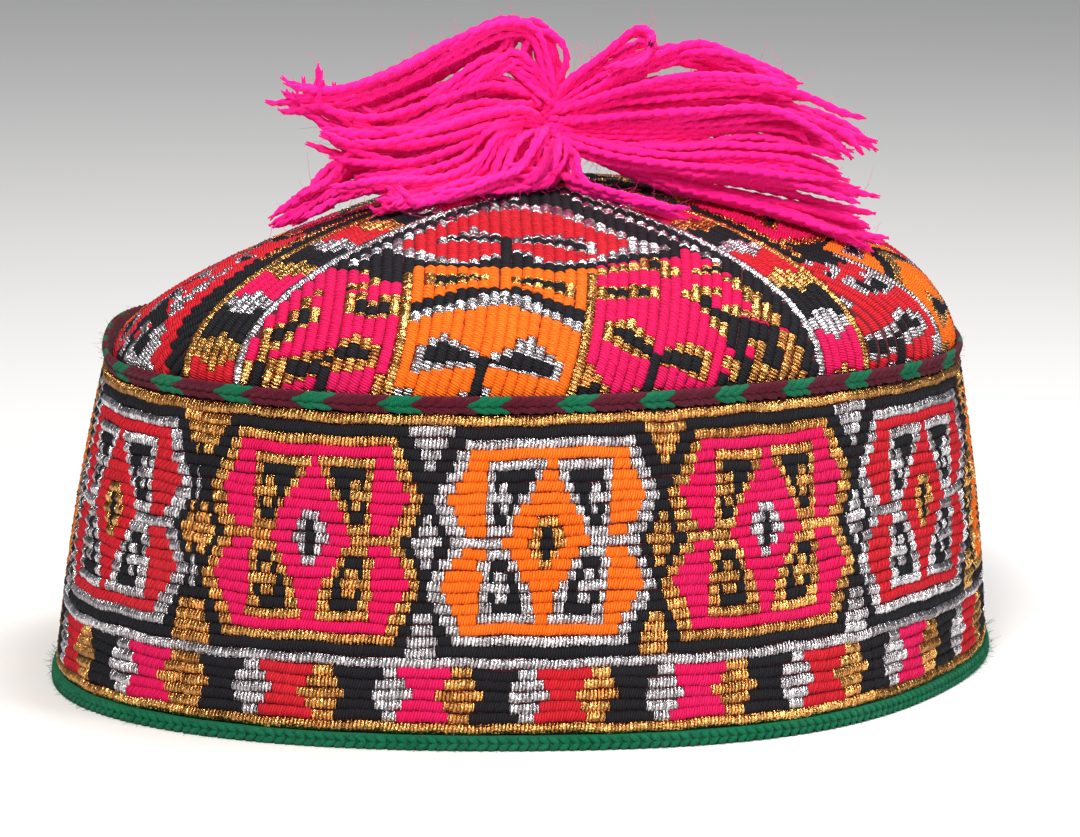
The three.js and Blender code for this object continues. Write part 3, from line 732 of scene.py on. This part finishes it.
def strip(name, turn, silks, first, order, silver_side):
    """A strip of blocks between two gores: five block ribs between a silver and a gold rib."""
    weave = Weave(THREADS)
    middle = float(heading_at(turn / 4))
    climb = np.linspace(0, crown_climb(STRIP_OPENING / CROWN_RADIUS), 300)
    last = STRIP_RIBS - 1
    for rib in range(STRIP_RIBS):
        offset = (rib - last / 2) * CORD
        radius = crown_share(climb) * CROWN_RADIUS * plan(middle)
        angle = np.sign(offset) * strip_half_angle(radius, abs(offset)) if offset else np.zeros_like(climb)
        full = np.arcsin(np.minimum(1, STRIP_HALF_WIDTH / radius))
        width = CORD * np.minimum(1, strip_half_angle(radius) / full)
        heading = middle + angle
        path = CordPath(crown_point(heading, climb), crown_normal(heading, climb), width)
        if rib in (0, last):
            edging = "silver" if (rib == last) == (silver_side < 0) else "gold"
            lay_run(weave, path, 0, path.length, edging)
            continue
        widths = BORDER[rib - 1]
        if order[0] == "silver":
            widths = (widths[0], widths[3], widths[2], widths[1])
        for repeat in range(-1, 5):
            threads = (silks[repeat % 2], *order)
            block = block_runs(widths, STRIP_REPEAT, first + repeat * STRIP_REPEAT, threads)
            for low, high, thread in block:
                lay_run(weave, path, low * CORD, high * CORD, thread)
    crown_wall(weave, lambda radius: middle - strip_half_angle(radius),
               lambda radius: middle + strip_half_angle(radius), 8)
    return weave.piece("crown_strip_cloth_" + name)


# Braids
BRAID_STITCHES = 264
BRAID_REPEAT = 8
GREEN_STITCHES = 3
RIM_STITCHES = 300
WOOLS = ["green", "maroon"]
STITCH_ROW = 0.2
STITCH_PROUD = 0.15
STITCH_INSET = 0.3
STITCH_UNEVENNESS = 0.08


def stitch(weave, heading, height, lean, rise, radius, wide, high, thread):
    """A plump slanting stitch of wool on an upright ring."""
    step = np.array([0, 0.14, 0.5, 0.86, 1])
    swell = np.array([0.3, 0.8, 1, 0.8, 0.3])
    places = heading + (step - 1) * lean / radius
    heights = height + (1 - step) * rise
    points = polar(places, radius * plan(places, level_at(heights)), heights)
    normals = polar(places, 1.0, 0.0)
    path = CordPath(points, normals)
    points, normals, tangents, _ = path.at(path.length * step)
    rings = rings_along(points, normals, tangents, ROUND_SECTION, wide * swell, high * swell)
    weave.tube(rings, step * path.length, thread, chance.random())


def plaited_ring(name, foot, height, inner, outer, count, lean, wide, high, colour_of, core):
    """A cloth ring with two rows of slanting stitches that meet in a fishbone."""
    weave = Weave(WOOLS)
    heading = heading_at(np.arange(192) / 192)[None]
    share = np.linspace(0, 1, 7)[:, None]
    heights = foot + height * share
    shape = plan(heading, level_at(heights))
    weave.wall(polar(heading, outer(share) * shape, heights), polar(heading, inner(share) * shape, heights),
               True, core, core)
    middle = foot + height / 2
    for number in range(count):
        place = float(heading_at(number / count))
        for side in (-1, 1):
            radius = float(outer(np.array(0.5 + side * STITCH_ROW))) + STITCH_PROUD
            reach = lean * chance.normal(1, STITCH_UNEVENNESS)
            rise = side * (height / 2 - wide * STITCH_INSET)
            stitch(weave, place, middle, reach, rise, radius, wide, high, colour_of(number))
    return weave.piece(name)


def braid_colour(number):
    return "green" if number % BRAID_REPEAT < GREEN_STITCHES else "maroon"


def seam_braid():
    def inner(share):
        return CROWN_RADIUS - CROWN_TUCK + BRAID_CLEARANCE + 0.75 * CROWN_TUCK * share

    def outer(share):
        return inner(share) + (BRAID_THICKNESS - 0.9) * np.sin(math.pi * (0.06 + 0.88 * share))

    return plaited_ring("seam_braid_wool", CROWN_FOOT, BRAID_HEIGHT, inner, outer, BRAID_STITCHES,
                        lean=-4.6, wide=0.85, high=0.75, colour_of=braid_colour, core="maroon")


def rim_binding():
    def swell(share):
        return RIM_PROUD * np.sin(math.pi * (0.18 + 0.72 * share))

    def outer(share):
        return RIM_RADIUS + swell(share) - 0.5

    def inner(share):
        return RIM_RADIUS - WALL - swell(share)

    return plaited_ring("rim_binding_wool", 0.0, RIM_HEIGHT, inner, outer, RIM_STITCHES,
                        lean=2.0, wide=0.75, high=0.6, colour_of=lambda number: "green", core="green")


# The tassel: bundles of yarn as the number of yarns, how far their tips come forward and how far they
# spread to the front and back, and the line they take from the knot, to the right and up
KNOT = np.array([1.4, -4.0, 112.0])
BUNDLES = [
    (15, 4, 6, "0.4 8.3, -3 17.5, -9.5 19.2, -20.2 14.2, -31 8.6, -42 4.4, -51 3.6, -54.5 5"),
    (5, 5, 3, "1.6 13.2, -1.4 18.6, -5.6 18, -8.6 12.6, -14.5 8.2, -20 3"),
    (10, 9, 4, "-2.6 8.6, -8.1 12.4, -12.6 10.8, -20.3 5.1, -29 -1.4, -38 -3, -46 1.4"),
    (9, 6, 8, "-6.3 6.2, -13.9 7.2, -25.8 3.2, -38.2 -1.6, -47.5 2.4, -48.6 9.4"),
    (11, 8, 8, "-7 3.2, -15 1.7, -25.7 -2.6, -36.2 -4.8, -45 -3.4"),
    (11, 11, 8, "-8 0.3, -16.4 -3, -27.5 -6.3, -38 -6.3, -44.9 -4.4"),
    (12, 20, 7, "-8.6 -1.6, -14.4 -7.4, -23.3 -11.2, -33.8 -12.8, -41.5 -13.8"),
    (12, 26, 5, "-7.9 -3.4, -12.4 -11.4, -19.5 -15.8, -28 -18.8, -35.6 -19.2"),
    (10, 29, 4, "-7.4 -4.4, -12 -13.5, -19.2 -18.4, -27.6 -20.4, -34.4 -15.2"),
    (6, 16, 3, "-4.6 -3.4, -7.4 -8.6, -8.4 -12.4, -5 -13.2, -1.2 -10.8, -0.4 -6"),
    (8, 22, 3, "-1.5 -4, -4 -9, -6.8 -12.6, -12 -15.5, -18 -17.6, -24.6 -19.6"),
    (6, 14, 2, "0.6 -4, 0.4 -8, -1.8 -11.4, -6 -12.6, -11.4 -12.2"),
    (10, 13, 5, "-12 -4, -28 -7.6, -40 -8.4, -44.6 -12.2, -45.4 -15.4, -50 -18.4, -55.6 -21.8"),
    (8, 16, 4, "-14 -5, -30 -10.4, -39 -14.6, -45.6 -16.4, -51 -20.4"),
    (8, -14, 7, "-8 4, -18 5, -28 -1, -38 -8"),
    (12, 2, 6, "5 4.6, 12.9 9.4, 20.8 12.6, 28.8 14.4, 37 12, 44.6 8.4, 48.6 7"),
    (15, 4, 6, "6 3, 16.5 6.4, 28.4 8.2, 39.7 8, 51.1 6.2"),
    (6, 3, 4, "3.6 9, 10.2 14, 16.8 18.8, 19.4 18, 18.2 13.4, 10.4 10.4"),
    (17, 5, 7, "6.4 1.2, 18.8 2.8, 32.2 4, 45 3.8, 56.6 -0.4, 63.4 -4.2"),
    (17, 8, 7, "6 -0.6, 17.5 -0.8, 30.8 -0.2, 43.6 0.4, 54 -1.8, 59 -5.4"),
    (14, 10, 6, "5.6 -2.2, 15.4 -4.4, 26.8 -5.6, 38.1 -4.4, 50 -5.2, 58.4 -8"),
    (15, 11, 6, "5 -3.6, 13.9 -6.2, 25.3 -7.6, 37.2 -7.8, 48.1 -9, 57.7 -11.6"),
    (15, 9, 6, "6.4 -4.4, 17.4 -7.8, 30.8 -10.4, 43.1 -11.8, 55 -13.2, 65.6 -15.4"),
    (13, 5, 6, "8 -5, 20.8 -10.5, 33.2 -14.4, 45.6 -17.4, 57 -20.4, 66.4 -22.6"),
    (10, 8, 5, "10 -6, 24.8 -12.4, 38.2 -17.6, 50.1 -20.6, 60 -23.4, 65.6 -25.6"),
    (4, 26, 1, "4.4 -7.6, 5.2 -12.9, 9.4 -17.4, 14.9 -19.2, 21.4 -19.8, 27.6 -21.6"),
    (8, -16, 7, "8 4, 18 6, 30 1, 42 -8"),
]
SLOPE_OF_VIEW = 0.187
YARN_RADIUS = 0.66
YARN_TWIST = 6.0
YARN_STEP = 1.55
YARN_LENGTH_SPREAD = 0.03
YARN_WAVE = 0.55
YARN_CLEARANCE = 1.1
FIBRE_BEND = 0.6
HEAD_TURNS = 6
FUZZ_COUNT = 3600
BRAID_FUZZ = 1100
RIM_FUZZ = 1800
FIBRE_RADIUS = 0.055


def smooth_line(stops, count):
    """Even points on a rounded line through a few stops."""
    stops = np.asarray(stops, float)
    held = np.concatenate([2 * stops[:1] - stops[1:2], stops, 2 * stops[-1:] - stops[-2:-1]])
    places = np.linspace(0, len(stops) - 1 - 1e-6, 160)
    first = places.astype(int)
    t = (places - first)[:, None]
    a, b, c, d = (held[first + k] for k in range(4))
    line = 0.5 * (2 * b + (c - a) * t + (2 * a - 5 * b + 4 * c - d) * t**2 + (3 * b - a - 3 * c + d) * t**3)
    length = np.concatenate([[0], np.cumsum(np.linalg.norm(np.diff(line, axis=0), axis=1))])
    even = np.linspace(0, length[-1], count)
    return np.stack([np.interp(even, length, line[:, k]) for k in range(3)], -1)


def yarn_line(bundle):
    """One yarn of a bundle: beside its neighbours, a little longer or shorter, and hardly waved."""
    _, forward, spread, text = bundle
    stops = places_in(text) * chance.normal(1, YARN_LENGTH_SPREAD)
    count = len(stops)
    way = (np.arange(count) + 1) / count
    depth = (forward + chance.normal(0, spread)) * way**0.8
    root = np.array([chance.normal(0, 1.0), -chance.normal(0, 2.2), np.clip(stops[0, 1] * 0.45, -4, 4)])
    set_off = np.clip(chance.normal(0, 1.5, 3), -3, 3)
    line = np.zeros((count + 1, 3))
    line[0] = root + chance.normal(0, 0.8, 3)
    line[1:, 0] = stops[:, 0] + set_off[0]
    line[1:, 1] = -depth + set_off[1]
    line[1:, 2] = stops[:, 1] + SLOPE_OF_VIEW * depth + set_off[2] * (0.6 + 0.6 * way)
    line[1:] += chance.normal(0, YARN_WAVE, (count, 3)) * way[:, None]
    line[-1] = line[-2] + (line[-1] - line[-2]) * chance.uniform(0.45, 1.1)
    length = np.linalg.norm(np.diff(line, axis=0), axis=1).sum()
    line = smooth_line(KNOT + line, max(12, int(length / YARN_STEP)))
    way = np.linspace(0, 1, len(line))
    for axis in range(3):
        size = chance.normal(0, YARN_WAVE)
        line[:, axis] += size * way * np.sin(math.tau * 1.6 * way + chance.uniform(0, math.tau))
    floor = crown_height(line[:, 0], line[:, 1]) + YARN_CLEARANCE + chance.uniform(0, 2.0)
    line[:, 2] = np.maximum(line[:, 2], floor)
    return line


def twist_yarn(weave, line, radius=YARN_RADIUS):
    """Two plies that wind round each other along a line."""
    tangents = unit(np.gradient(line, axis=0))
    aside = unit(np.cross(tangents, np.array([0.31, 0.45, 0.84])))
    above = np.cross(aside, tangents)
    along = np.concatenate([[0], np.cumsum(np.linalg.norm(np.diff(line, axis=0), axis=1))])
    turn = math.tau * along / YARN_TWIST + chance.uniform(0, math.tau)
    luck = chance.random()
    taper = 1 + 0.1 * np.sin(along / 3.1 + math.tau * luck) + chance.normal(0, 0.05, len(line))
    taper[-3:] *= (0.85, 0.6, 0.25)
    for ply in (0, math.pi):
        out = aside * np.cos(turn + ply)[:, None] + above * np.sin(turn + ply)[:, None]
        centre = line + out * radius * 0.48
        ahead = unit(np.gradient(centre, axis=0))
        thick = radius * taper
        rings = rings_along(centre, unit(np.cross(aside, ahead)), ahead, PLY_SECTION, thick, thick)
        weave.tube(rings, along, "pink_wool", luck)


def tassel():
    weave = Weave(["pink_wool"])
    lines = [yarn_line(bundle) for bundle in BUNDLES for _ in range(bundle[0])]
    turn = np.linspace(0, math.tau * HEAD_TURNS, HEAD_TURNS * 24)
    way = np.linspace(0, 1, len(turn))
    apex = float(crown_height(KNOT[0], KNOT[1]))
    size = 4.6 - 0.8 * np.abs(2 * way - 1) ** 2
    wound = np.stack([KNOT[0] + size * np.cos(turn), KNOT[1] + size * np.sin(turn),
                      apex + 1.2 + way * (KNOT[2] - apex - 1.0)], -1)
    for line in [*lines, wound]:
        twist_yarn(weave, line)
    heights = np.array([apex + 0.4, apex + 4, apex + 9, KNOT[2] - 1, KNOT[2] + 2.5])
    radii = np.array([3.6, 4.0, 4.0, 3.6, 2.2])
    spin = np.arange(16) * math.tau / 16
    core = np.stack([KNOT[0] + radii[:, None] * np.sin(spin), KNOT[1] - radii[:, None] * np.cos(spin),
                     np.broadcast_to(heights[:, None], (5, 16))], -1)
    weave.tube(core[:, ::-1], heights, "pink_wool", 0.5)
    return weave.piece("tassel_yarn"), lines


def lay_fibre(weave, start, drift, size, thread, lowest):
    """One loose fibre that stands off the wool, bent over towards its end."""
    way = np.linspace(0, 1, 3)[:, None]
    points = start + (drift * way + chance.normal(0, FIBRE_BEND, 3) * way**2) * size
    points[:, 2] = np.maximum(points[:, 2], lowest(points[:, 0], points[:, 1]))
    tangents = unit(np.gradient(points, axis=0) + 1e-6)
    aside = unit(np.cross(tangents, np.array([0.2, 0.9, 0.4])))
    thick = FIBRE_RADIUS * (1 - 0.6 * way[:, 0])
    rings = rings_along(points, aside, tangents, FIBRE_SECTION, thick, thick)
    weave.tube(rings, way[:, 0] * size, thread, chance.random())


def tassel_fuzz(lines):
    weave = Weave(["pink_wool"])
    for _ in range(FUZZ_COUNT):
        line = lines[chance.integers(len(lines))]
        start = line[chance.integers(3, len(line))]
        lay_fibre(weave, start, unit(chance.normal(0, 1, 3)), chance.uniform(1.2, 4.5), "pink_wool",
                  lambda x, y: crown_height(x, y) + 0.4)
    return weave.piece("tassel_fuzz")


def braid_fuzz(name, count, foot, height, radius, thread_at):
    """Fibres that stand off a braid round the cap, from just above its foot to just under its top."""
    weave = Weave(WOOLS)
    for _ in range(count):
        share = chance.random()
        heading = heading_at(np.array([share]))
        level = foot + height * chance.uniform(0.1, 0.9, 1)
        start = polar(heading, radius * plan(heading, level_at(level)), level)[0]
        drift = unit(polar(heading, 0.7, 0.0)[0] + chance.normal(0, 0.6, 3))
        lay_fibre(weave, start, drift, chance.uniform(0.6, 1.7), thread_at(share), lambda x, y: 0.06)
    return weave.piece(name)


# Finishes
WORN_SHARE = 0.7
WORN_ROUGHNESS = 0.12
THREAD_RELIEF = 0.0003


def node(tree, kind, **values):
    made = tree.nodes.new(kind)
    for name, value in values.items():
        if name.startswith("in_"):
            made.inputs[int(name[3:])].default_value = value
        else:
            setattr(made, name, value)
    return made


def sum_of(tree, operation, first, second=None, third=None):
    made = node(tree, "ShaderNodeMath", operation=operation)
    for socket, value in zip(made.inputs, (first, second, third)):
        if isinstance(value, (int, float)):
            socket.default_value = value
        elif value is not None:
            tree.links.new(value, socket)
    return made.outputs[0]


def new_group(name, inputs, outputs):
    group = bpy.data.node_groups.new(name, "ShaderNodeTree")
    for label, kind, value in inputs:
        socket = group.interface.new_socket(label, in_out="INPUT", socket_type=kind)
        socket.default_value = value
    for label, kind in outputs:
        group.interface.new_socket(label, in_out="OUTPUT", socket_type=kind)
    return group, group.nodes.new("NodeGroupInput").outputs, group.nodes.new("NodeGroupOutput").inputs


def thread_lay_group():
    """Threads laid side by side: a height for bump, and a tone that differs from thread to thread, with
    painted shade in the gaps between the wraps and at both feet of a cord.
    """
    number = "NodeSocketFloat"
    group, given, out = new_group(
        "thread_lay",
        [("Pitch", number, 0.45), ("Slant", number, 0.15), ("Wobble", number, 0.3), ("Gap Tone", number, 0.6),
         ("Edge Tone", number, 1.0), ("Thread Tone", number, 0.2), ("Run Tone", number, 0.1),
         ("Fibre Size", number, 2500.0), ("Fibre Height", number, 0.3)],
        [("Height", number), ("Tone", number)],
    )
    mark = node(group, "ShaderNodeAttribute", attribute_name="thread")
    parts = node(group, "ShaderNodeSeparateXYZ")
    group.links.new(mark.outputs["Vector"], parts.inputs[0])
    place = node(group, "ShaderNodeTexCoord")
    drift = node(group, "ShaderNodeTexNoise", in_2=700.0, in_3=2.0)
    fibre = node(group, "ShaderNodeTexNoise", in_3=2.0)
    for noise in (drift, fibre):
        group.links.new(place.outputs["Object"], noise.inputs["Vector"])
    group.links.new(given["Fibre Size"], fibre.inputs["Scale"])
    slanted = sum_of(group, "MULTIPLY_ADD", parts.outputs["Y"], given["Slant"], parts.outputs["X"])
    wobble = sum_of(group, "MULTIPLY", drift.outputs[0], given["Wobble"])
    turns = sum_of(group, "ADD", sum_of(group, "DIVIDE", slanted, given["Pitch"]), wobble)
    wave = sum_of(group, "ABSOLUTE", sum_of(group, "SINE", sum_of(group, "MULTIPLY", turns, math.pi)))
    rounded = sum_of(group, "POWER", wave, 0.7)
    height = sum_of(group, "MULTIPLY_ADD", fibre.outputs[0], given["Fibre Height"], rounded)
    group.links.new(height, out["Height"])
    which = node(group, "ShaderNodeCombineXYZ")
    group.links.new(sum_of(group, "FLOOR", turns), which.inputs[0])
    group.links.new(parts.outputs["Z"], which.inputs[1])
    luck = node(group, "ShaderNodeTexWhiteNoise", noise_dimensions="2D")
    group.links.new(which.outputs[0], luck.inputs["Vector"])
    # Painted shade between the wraps: the tone falls to Gap Tone in each gap
    kept = sum_of(group, "SUBTRACT", 1.0, given["Gap Tone"])
    tone = sum_of(group, "MULTIPLY_ADD", rounded, kept, given["Gap Tone"])
    # Painted shade at both feet of a cord, where it meets its neighbours: the tone falls to Edge Tone there
    side = sum_of(group, "MULTIPLY_ADD", parts.outputs["Y"], 2.0, -1.0)
    painted_foot_shade = sum_of(group, "SUBTRACT", given["Edge Tone"], 1.0)
    edge = sum_of(group, "POWER", sum_of(group, "ABSOLUTE", side), 2.0)
    tone = sum_of(group, "MULTIPLY", tone, sum_of(group, "MULTIPLY_ADD", edge, painted_foot_shade, 1.0))
    for value, share in ((luck.outputs["Value"], "Thread Tone"), (parts.outputs["Z"], "Run Tone")):
        shift = sum_of(group, "MULTIPLY_ADD", sum_of(group, "SUBTRACT", value, 0.5), given[share], 1.0)
        tone = sum_of(group, "MULTIPLY", tone, shift)
    group.links.new(tone, out["Tone"])
    return group


def age_group():
    """Slow change over the cap: faded and dusty places, from 0 fresh to 1 worn."""
    number = "NodeSocketFloat"
    group, given, out = new_group("age", [("Size", number, 60.0)], [("Worn", number)])
    place = node(group, "ShaderNodeTexCoord")
    noise = node(group, "ShaderNodeTexNoise", in_3=4.0)
    group.links.new(place.outputs["Object"], noise.inputs["Vector"])
    group.links.new(given["Size"], noise.inputs["Scale"])
    spread = node(group, "ShaderNodeMapRange")
    spread.inputs[1].default_value = 0.35
    spread.inputs[2].default_value = 0.75
    group.links.new(noise.outputs[0], spread.inputs[0])
    group.links.new(spread.outputs[0], out["Worn"])
    return group


GROUPS = {"thread_lay": thread_lay_group(), "age": age_group()}


def placed(tree, name, **values):
    made = node(tree, "ShaderNodeGroup", node_tree=GROUPS[name])
    for label, value in values.items():
        made.inputs[label.replace("_", " ")].default_value = value
    return made


def linear(red, green, blue):
    """Colour values as a picture shows them, in the shader's own scale."""
    shown = (red / 255, green / 255, blue / 255)
    return tuple(((c + 0.055) / 1.055) ** 2.4 if c > 10 / 255 else c / 12.92 for c in shown)


def thread_finish(name, colours, lay, bump, roughness, metallic=0.0, sheen=0.0, specular=0.5, painted_glow=0.0):
    """A finish of laid threads: its colour, where it is worn, and its colour in the painted shade between the
    threads and at the cords' feet; wool may also have a painted glow, light given off in its own colour that
    lifts its shade."""
    colour, worn, painted_shade_colour = (linear(*values) for values in colours)
    material = bpy.data.materials.new(name)
    material.use_nodes = True
    tree = material.node_tree
    shader = tree.nodes["Principled BSDF"]
    thread = placed(tree, "thread_lay", **lay)
    age = placed(tree, "age")
    faded = node(tree, "ShaderNodeMix", data_type="RGBA")
    faded.inputs[7].default_value = (*worn, 1)
    faded.inputs[6].default_value = (*colour, 1)
    tree.links.new(sum_of(tree, "MULTIPLY", age.outputs["Worn"], WORN_SHARE), faded.inputs[0])
    # The colour goes over to the painted shade colour where the tone falls: in the gaps between wraps and at
    # the cords' feet, and a little with the random tone of threads and runs
    shaded = node(tree, "ShaderNodeMix", data_type="RGBA")
    shaded.inputs[6].default_value = (*painted_shade_colour, 1)
    tree.links.new(thread.outputs["Tone"], shaded.inputs[0])
    tree.links.new(faded.outputs[2], shaded.inputs[7])
    shaded.clamp_factor = False
    tree.links.new(shaded.outputs[2], shader.inputs["Base Color"])
    rough = sum_of(tree, "MULTIPLY_ADD", age.outputs["Worn"], WORN_ROUGHNESS, roughness)
    tree.links.new(rough, shader.inputs["Roughness"])
    relief = node(tree, "ShaderNodeBump")
    relief.inputs["Strength"].default_value = bump
    relief.inputs["Distance"].default_value = THREAD_RELIEF
    tree.links.new(thread.outputs["Height"], relief.inputs["Height"])
    tree.links.new(relief.outputs[0], shader.inputs["Normal"])
    shader.inputs["Metallic"].default_value = metallic
    shader.inputs["Sheen Weight"].default_value = sheen
    # Painted glow: the finish gives off light in its own colour, which lifts the shade of the pink wool
    shader.inputs["Emission Color"].default_value = (*colour, 1)
    shader.inputs["Emission Strength"].default_value = painted_glow
    shader.inputs["Specular IOR Level"].default_value = specular
    return material


# Gap Tone and Edge Tone are painted shade, the share of the colour kept between the wraps and at the cords'
# feet; on the metal threads they are nearly black, painted shade and painted dark reflection that leave a
# bright crest
SILK_LAY = {"Pitch": 0.55, "Slant": 1.0, "Wobble": 0.9, "Gap_Tone": 0.65, "Edge_Tone": 0.55,
            "Thread_Tone": 0.25, "Run_Tone": 0.12, "Fibre_Size": 3000.0, "Fibre_Height": 0.4}
METAL_LAY = {"Pitch": METAL_WRAP, "Slant": 0.4, "Wobble": 0.4, "Gap_Tone": 0.05, "Edge_Tone": 0.12,
             "Thread_Tone": 1.0, "Run_Tone": 0.1, "Fibre_Size": 1500.0, "Fibre_Height": 2.4}
WOOL_LAY = {"Pitch": 0.45, "Slant": 1.4, "Wobble": 2.0, "Gap_Tone": 0.85, "Edge_Tone": 1.0,
            "Thread_Tone": 0.25, "Run_Tone": 0.25, "Fibre_Size": 2600.0, "Fibre_Height": 1.3}
CLOTH_LAY = {"Pitch": 0.5, "Slant": 0.0, "Wobble": 2.0, "Gap_Tone": 0.7, "Edge_Tone": 1.0,
             "Thread_Tone": 0.0, "Run_Tone": 0.0, "Fibre_Size": 2500.0, "Fibre_Height": 1.0}


def silk(name, *colours):
    return thread_finish(name, colours, SILK_LAY, 0.9, 0.7, specular=0.15)


def metal(name, *colours):
    return thread_finish(name, colours, METAL_LAY, 1.0, 0.2, metallic=1.0)


# Wool may have a painted glow in its own colour, none unless given
def wool(name, *colours, painted_glow=0.0):
    return thread_finish(name, colours, WOOL_LAY, 0.5, 0.9, sheen=0.05, specular=0.05, painted_glow=painted_glow)


def cloth(name, *colours):
    return thread_finish(name, colours, CLOTH_LAY, 0.5, 0.9)


# Each finish's colour, its worn colour and its colour in the painted shade between the threads and at the
# cords' feet
FINISH = {
    "black": silk("black_silk", (24, 23, 28), (34, 32, 37), (5, 5, 6)),
    "pink": silk("pink_silk", (226, 10, 84), (220, 28, 98), (116, 2, 34)),
    "red": silk("red_silk", (206, 24, 40), (198, 42, 54), (92, 5, 12)),
    "orange": silk("orange_silk", (252, 108, 16), (248, 122, 36), (160, 42, 4)),
    "silver": metal("silver_thread", (240, 237, 240), (208, 200, 206), (56, 26, 32)),
    "gold": metal("gold_thread", (255, 190, 112), (240, 154, 82), (52, 16, 5)),
    "green": wool("green_wool", (10, 96, 64), (30, 104, 76), (3, 42, 26)),
    "maroon": wool("maroon_wool", (80, 18, 34), (86, 32, 46), (32, 5, 11)),
    # The pink wool has a painted glow in its own colour, which lifts its shade
    "pink_wool": wool("pink_wool", (255, 30, 144), (255, 44, 150), (240, 12, 116), painted_glow=0.06),
    "ground": cloth("crimson_ground", (84, 10, 26), (62, 16, 26), (26, 3, 7)),
    "lining": cloth("lining_cotton", (140, 28, 42), (128, 44, 52), (84, 12, 22)),
}


def dress_cap():
    """Every piece of the cap, with its finishes in its material slots; the solids it stands for are hidden.
    """
    band = band_cloth()
    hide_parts("side_band")
    for turn, name in enumerate(("front", "right", "back", "left")):
        band_quarter(name, turn)
        swap = turn % 2 == 1
        panel = gore(name, turn, swap)
        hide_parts("crown_gore_" + name)
    for values in STRIPS:
        made = strip(*values)
        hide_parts("crown_strip_" + values[0])
    braid, rim = seam_braid(), rim_binding()
    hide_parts("seam_braid")
    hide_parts("rim_binding")
    yarn, lines = tassel()
    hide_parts("tassel")
    tassel_fuzz(lines)
    braid_fuzz("seam_braid_fuzz", BRAID_FUZZ, CROWN_FOOT, BRAID_HEIGHT, CROWN_RADIUS + 0.2,
                       lambda share: braid_colour(int(share * BRAID_STITCHES)))
    braid_fuzz("rim_binding_fuzz", RIM_FUZZ, 0.0, RIM_HEIGHT, RIM_RADIUS + RIM_PROUD - 0.3,
                       lambda share: "green")


dress_cap()

# Floor, light and camera
FLOOR_TONE = (0.80, 0.79, 0.77)
TARGET = Vector((0.0, 0.0, 0.03377))
CAMERA_TURN = math.radians(-2.64)
CAMERA_RISE = math.radians(10.57)
CAMERA_DISTANCE = 1.104
CAMERA_LENS = 176.4
CAMERA_ROLL = math.radians(1.18)
AIM_UP = 0.0158
AIM_RIGHT = 0.00117


def floor():
    mesh = bpy.data.meshes.new("pale_floor")
    mesh.from_pydata([(-4, -4, 0), (4, -4, 0), (4, 4, 0), (-4, 4, 0)], [], [(0, 1, 2, 3)])
    made = bpy.data.objects.new("pale_floor", mesh)
    bpy.context.scene.collection.objects.link(made)
    material = bpy.data.materials.new("pale_floor")
    material.use_nodes = True
    shader = material.node_tree.nodes["Principled BSDF"]
    shader.inputs["Base Color"].default_value = (*FLOOR_TONE, 1)
    shader.inputs["Roughness"].default_value = 0.9
    mesh.materials.append(material)


def soft_light(name, place, aim, size, power, tone=(1, 1, 1)):
    data = bpy.data.lights.new(name, "AREA")
    data.size = size
    data.energy = power
    data.color = tone
    made = bpy.data.objects.new(name, data)
    made.location = place
    made.rotation_euler = (Vector(aim) - Vector(place)).to_track_quat("-Z", "Y").to_euler()
    bpy.context.scene.collection.objects.link(made)


def light_room():
    world = bpy.data.worlds.new("studio")
    world.use_nodes = True
    sky = world.node_tree.nodes["Background"]
    sky.inputs[0].default_value = (0.86, 0.89, 0.95, 1)
    sky.inputs[1].default_value = 0.3
    bpy.context.scene.world = world
    soft_light("key_light", (-0.25, -0.8, 0.9), (0, 0, 0.05), 0.3, 15, (1, 0.97, 0.94))
    soft_light("top_light", (0.3, 0.1, 1.1), (0, 0, 0.06), 0.4, 8)
    soft_light("side_light", (0.9, -0.7, 0.5), (0, 0, 0.06), 0.3, 5)


def set_camera():
    data = bpy.data.cameras.new("view")
    data.sensor_width = 36
    data.lens = CAMERA_LENS
    camera = bpy.data.objects.new("view", data)
    flat = math.cos(CAMERA_RISE)
    back = Vector((math.sin(CAMERA_TURN) * flat, -math.cos(CAMERA_TURN) * flat, math.sin(CAMERA_RISE)))
    right = Vector((math.cos(CAMERA_TURN), math.sin(CAMERA_TURN), 0))
    up = back.cross(right)
    camera.location = TARGET + back * CAMERA_DISTANCE
    aim = TARGET + up * AIM_UP + right * AIM_RIGHT
    turn = (aim - camera.location).to_track_quat("-Z", "Y").to_matrix()
    turn = turn @ Matrix.Rotation(CAMERA_ROLL, 3, "Z")
    camera.rotation_euler = turn.to_euler()
    bpy.context.scene.collection.objects.link(camera)
    bpy.context.scene.camera = camera
    bpy.context.scene.view_settings.view_transform = "Standard"


floor()
light_room()
set_camera()
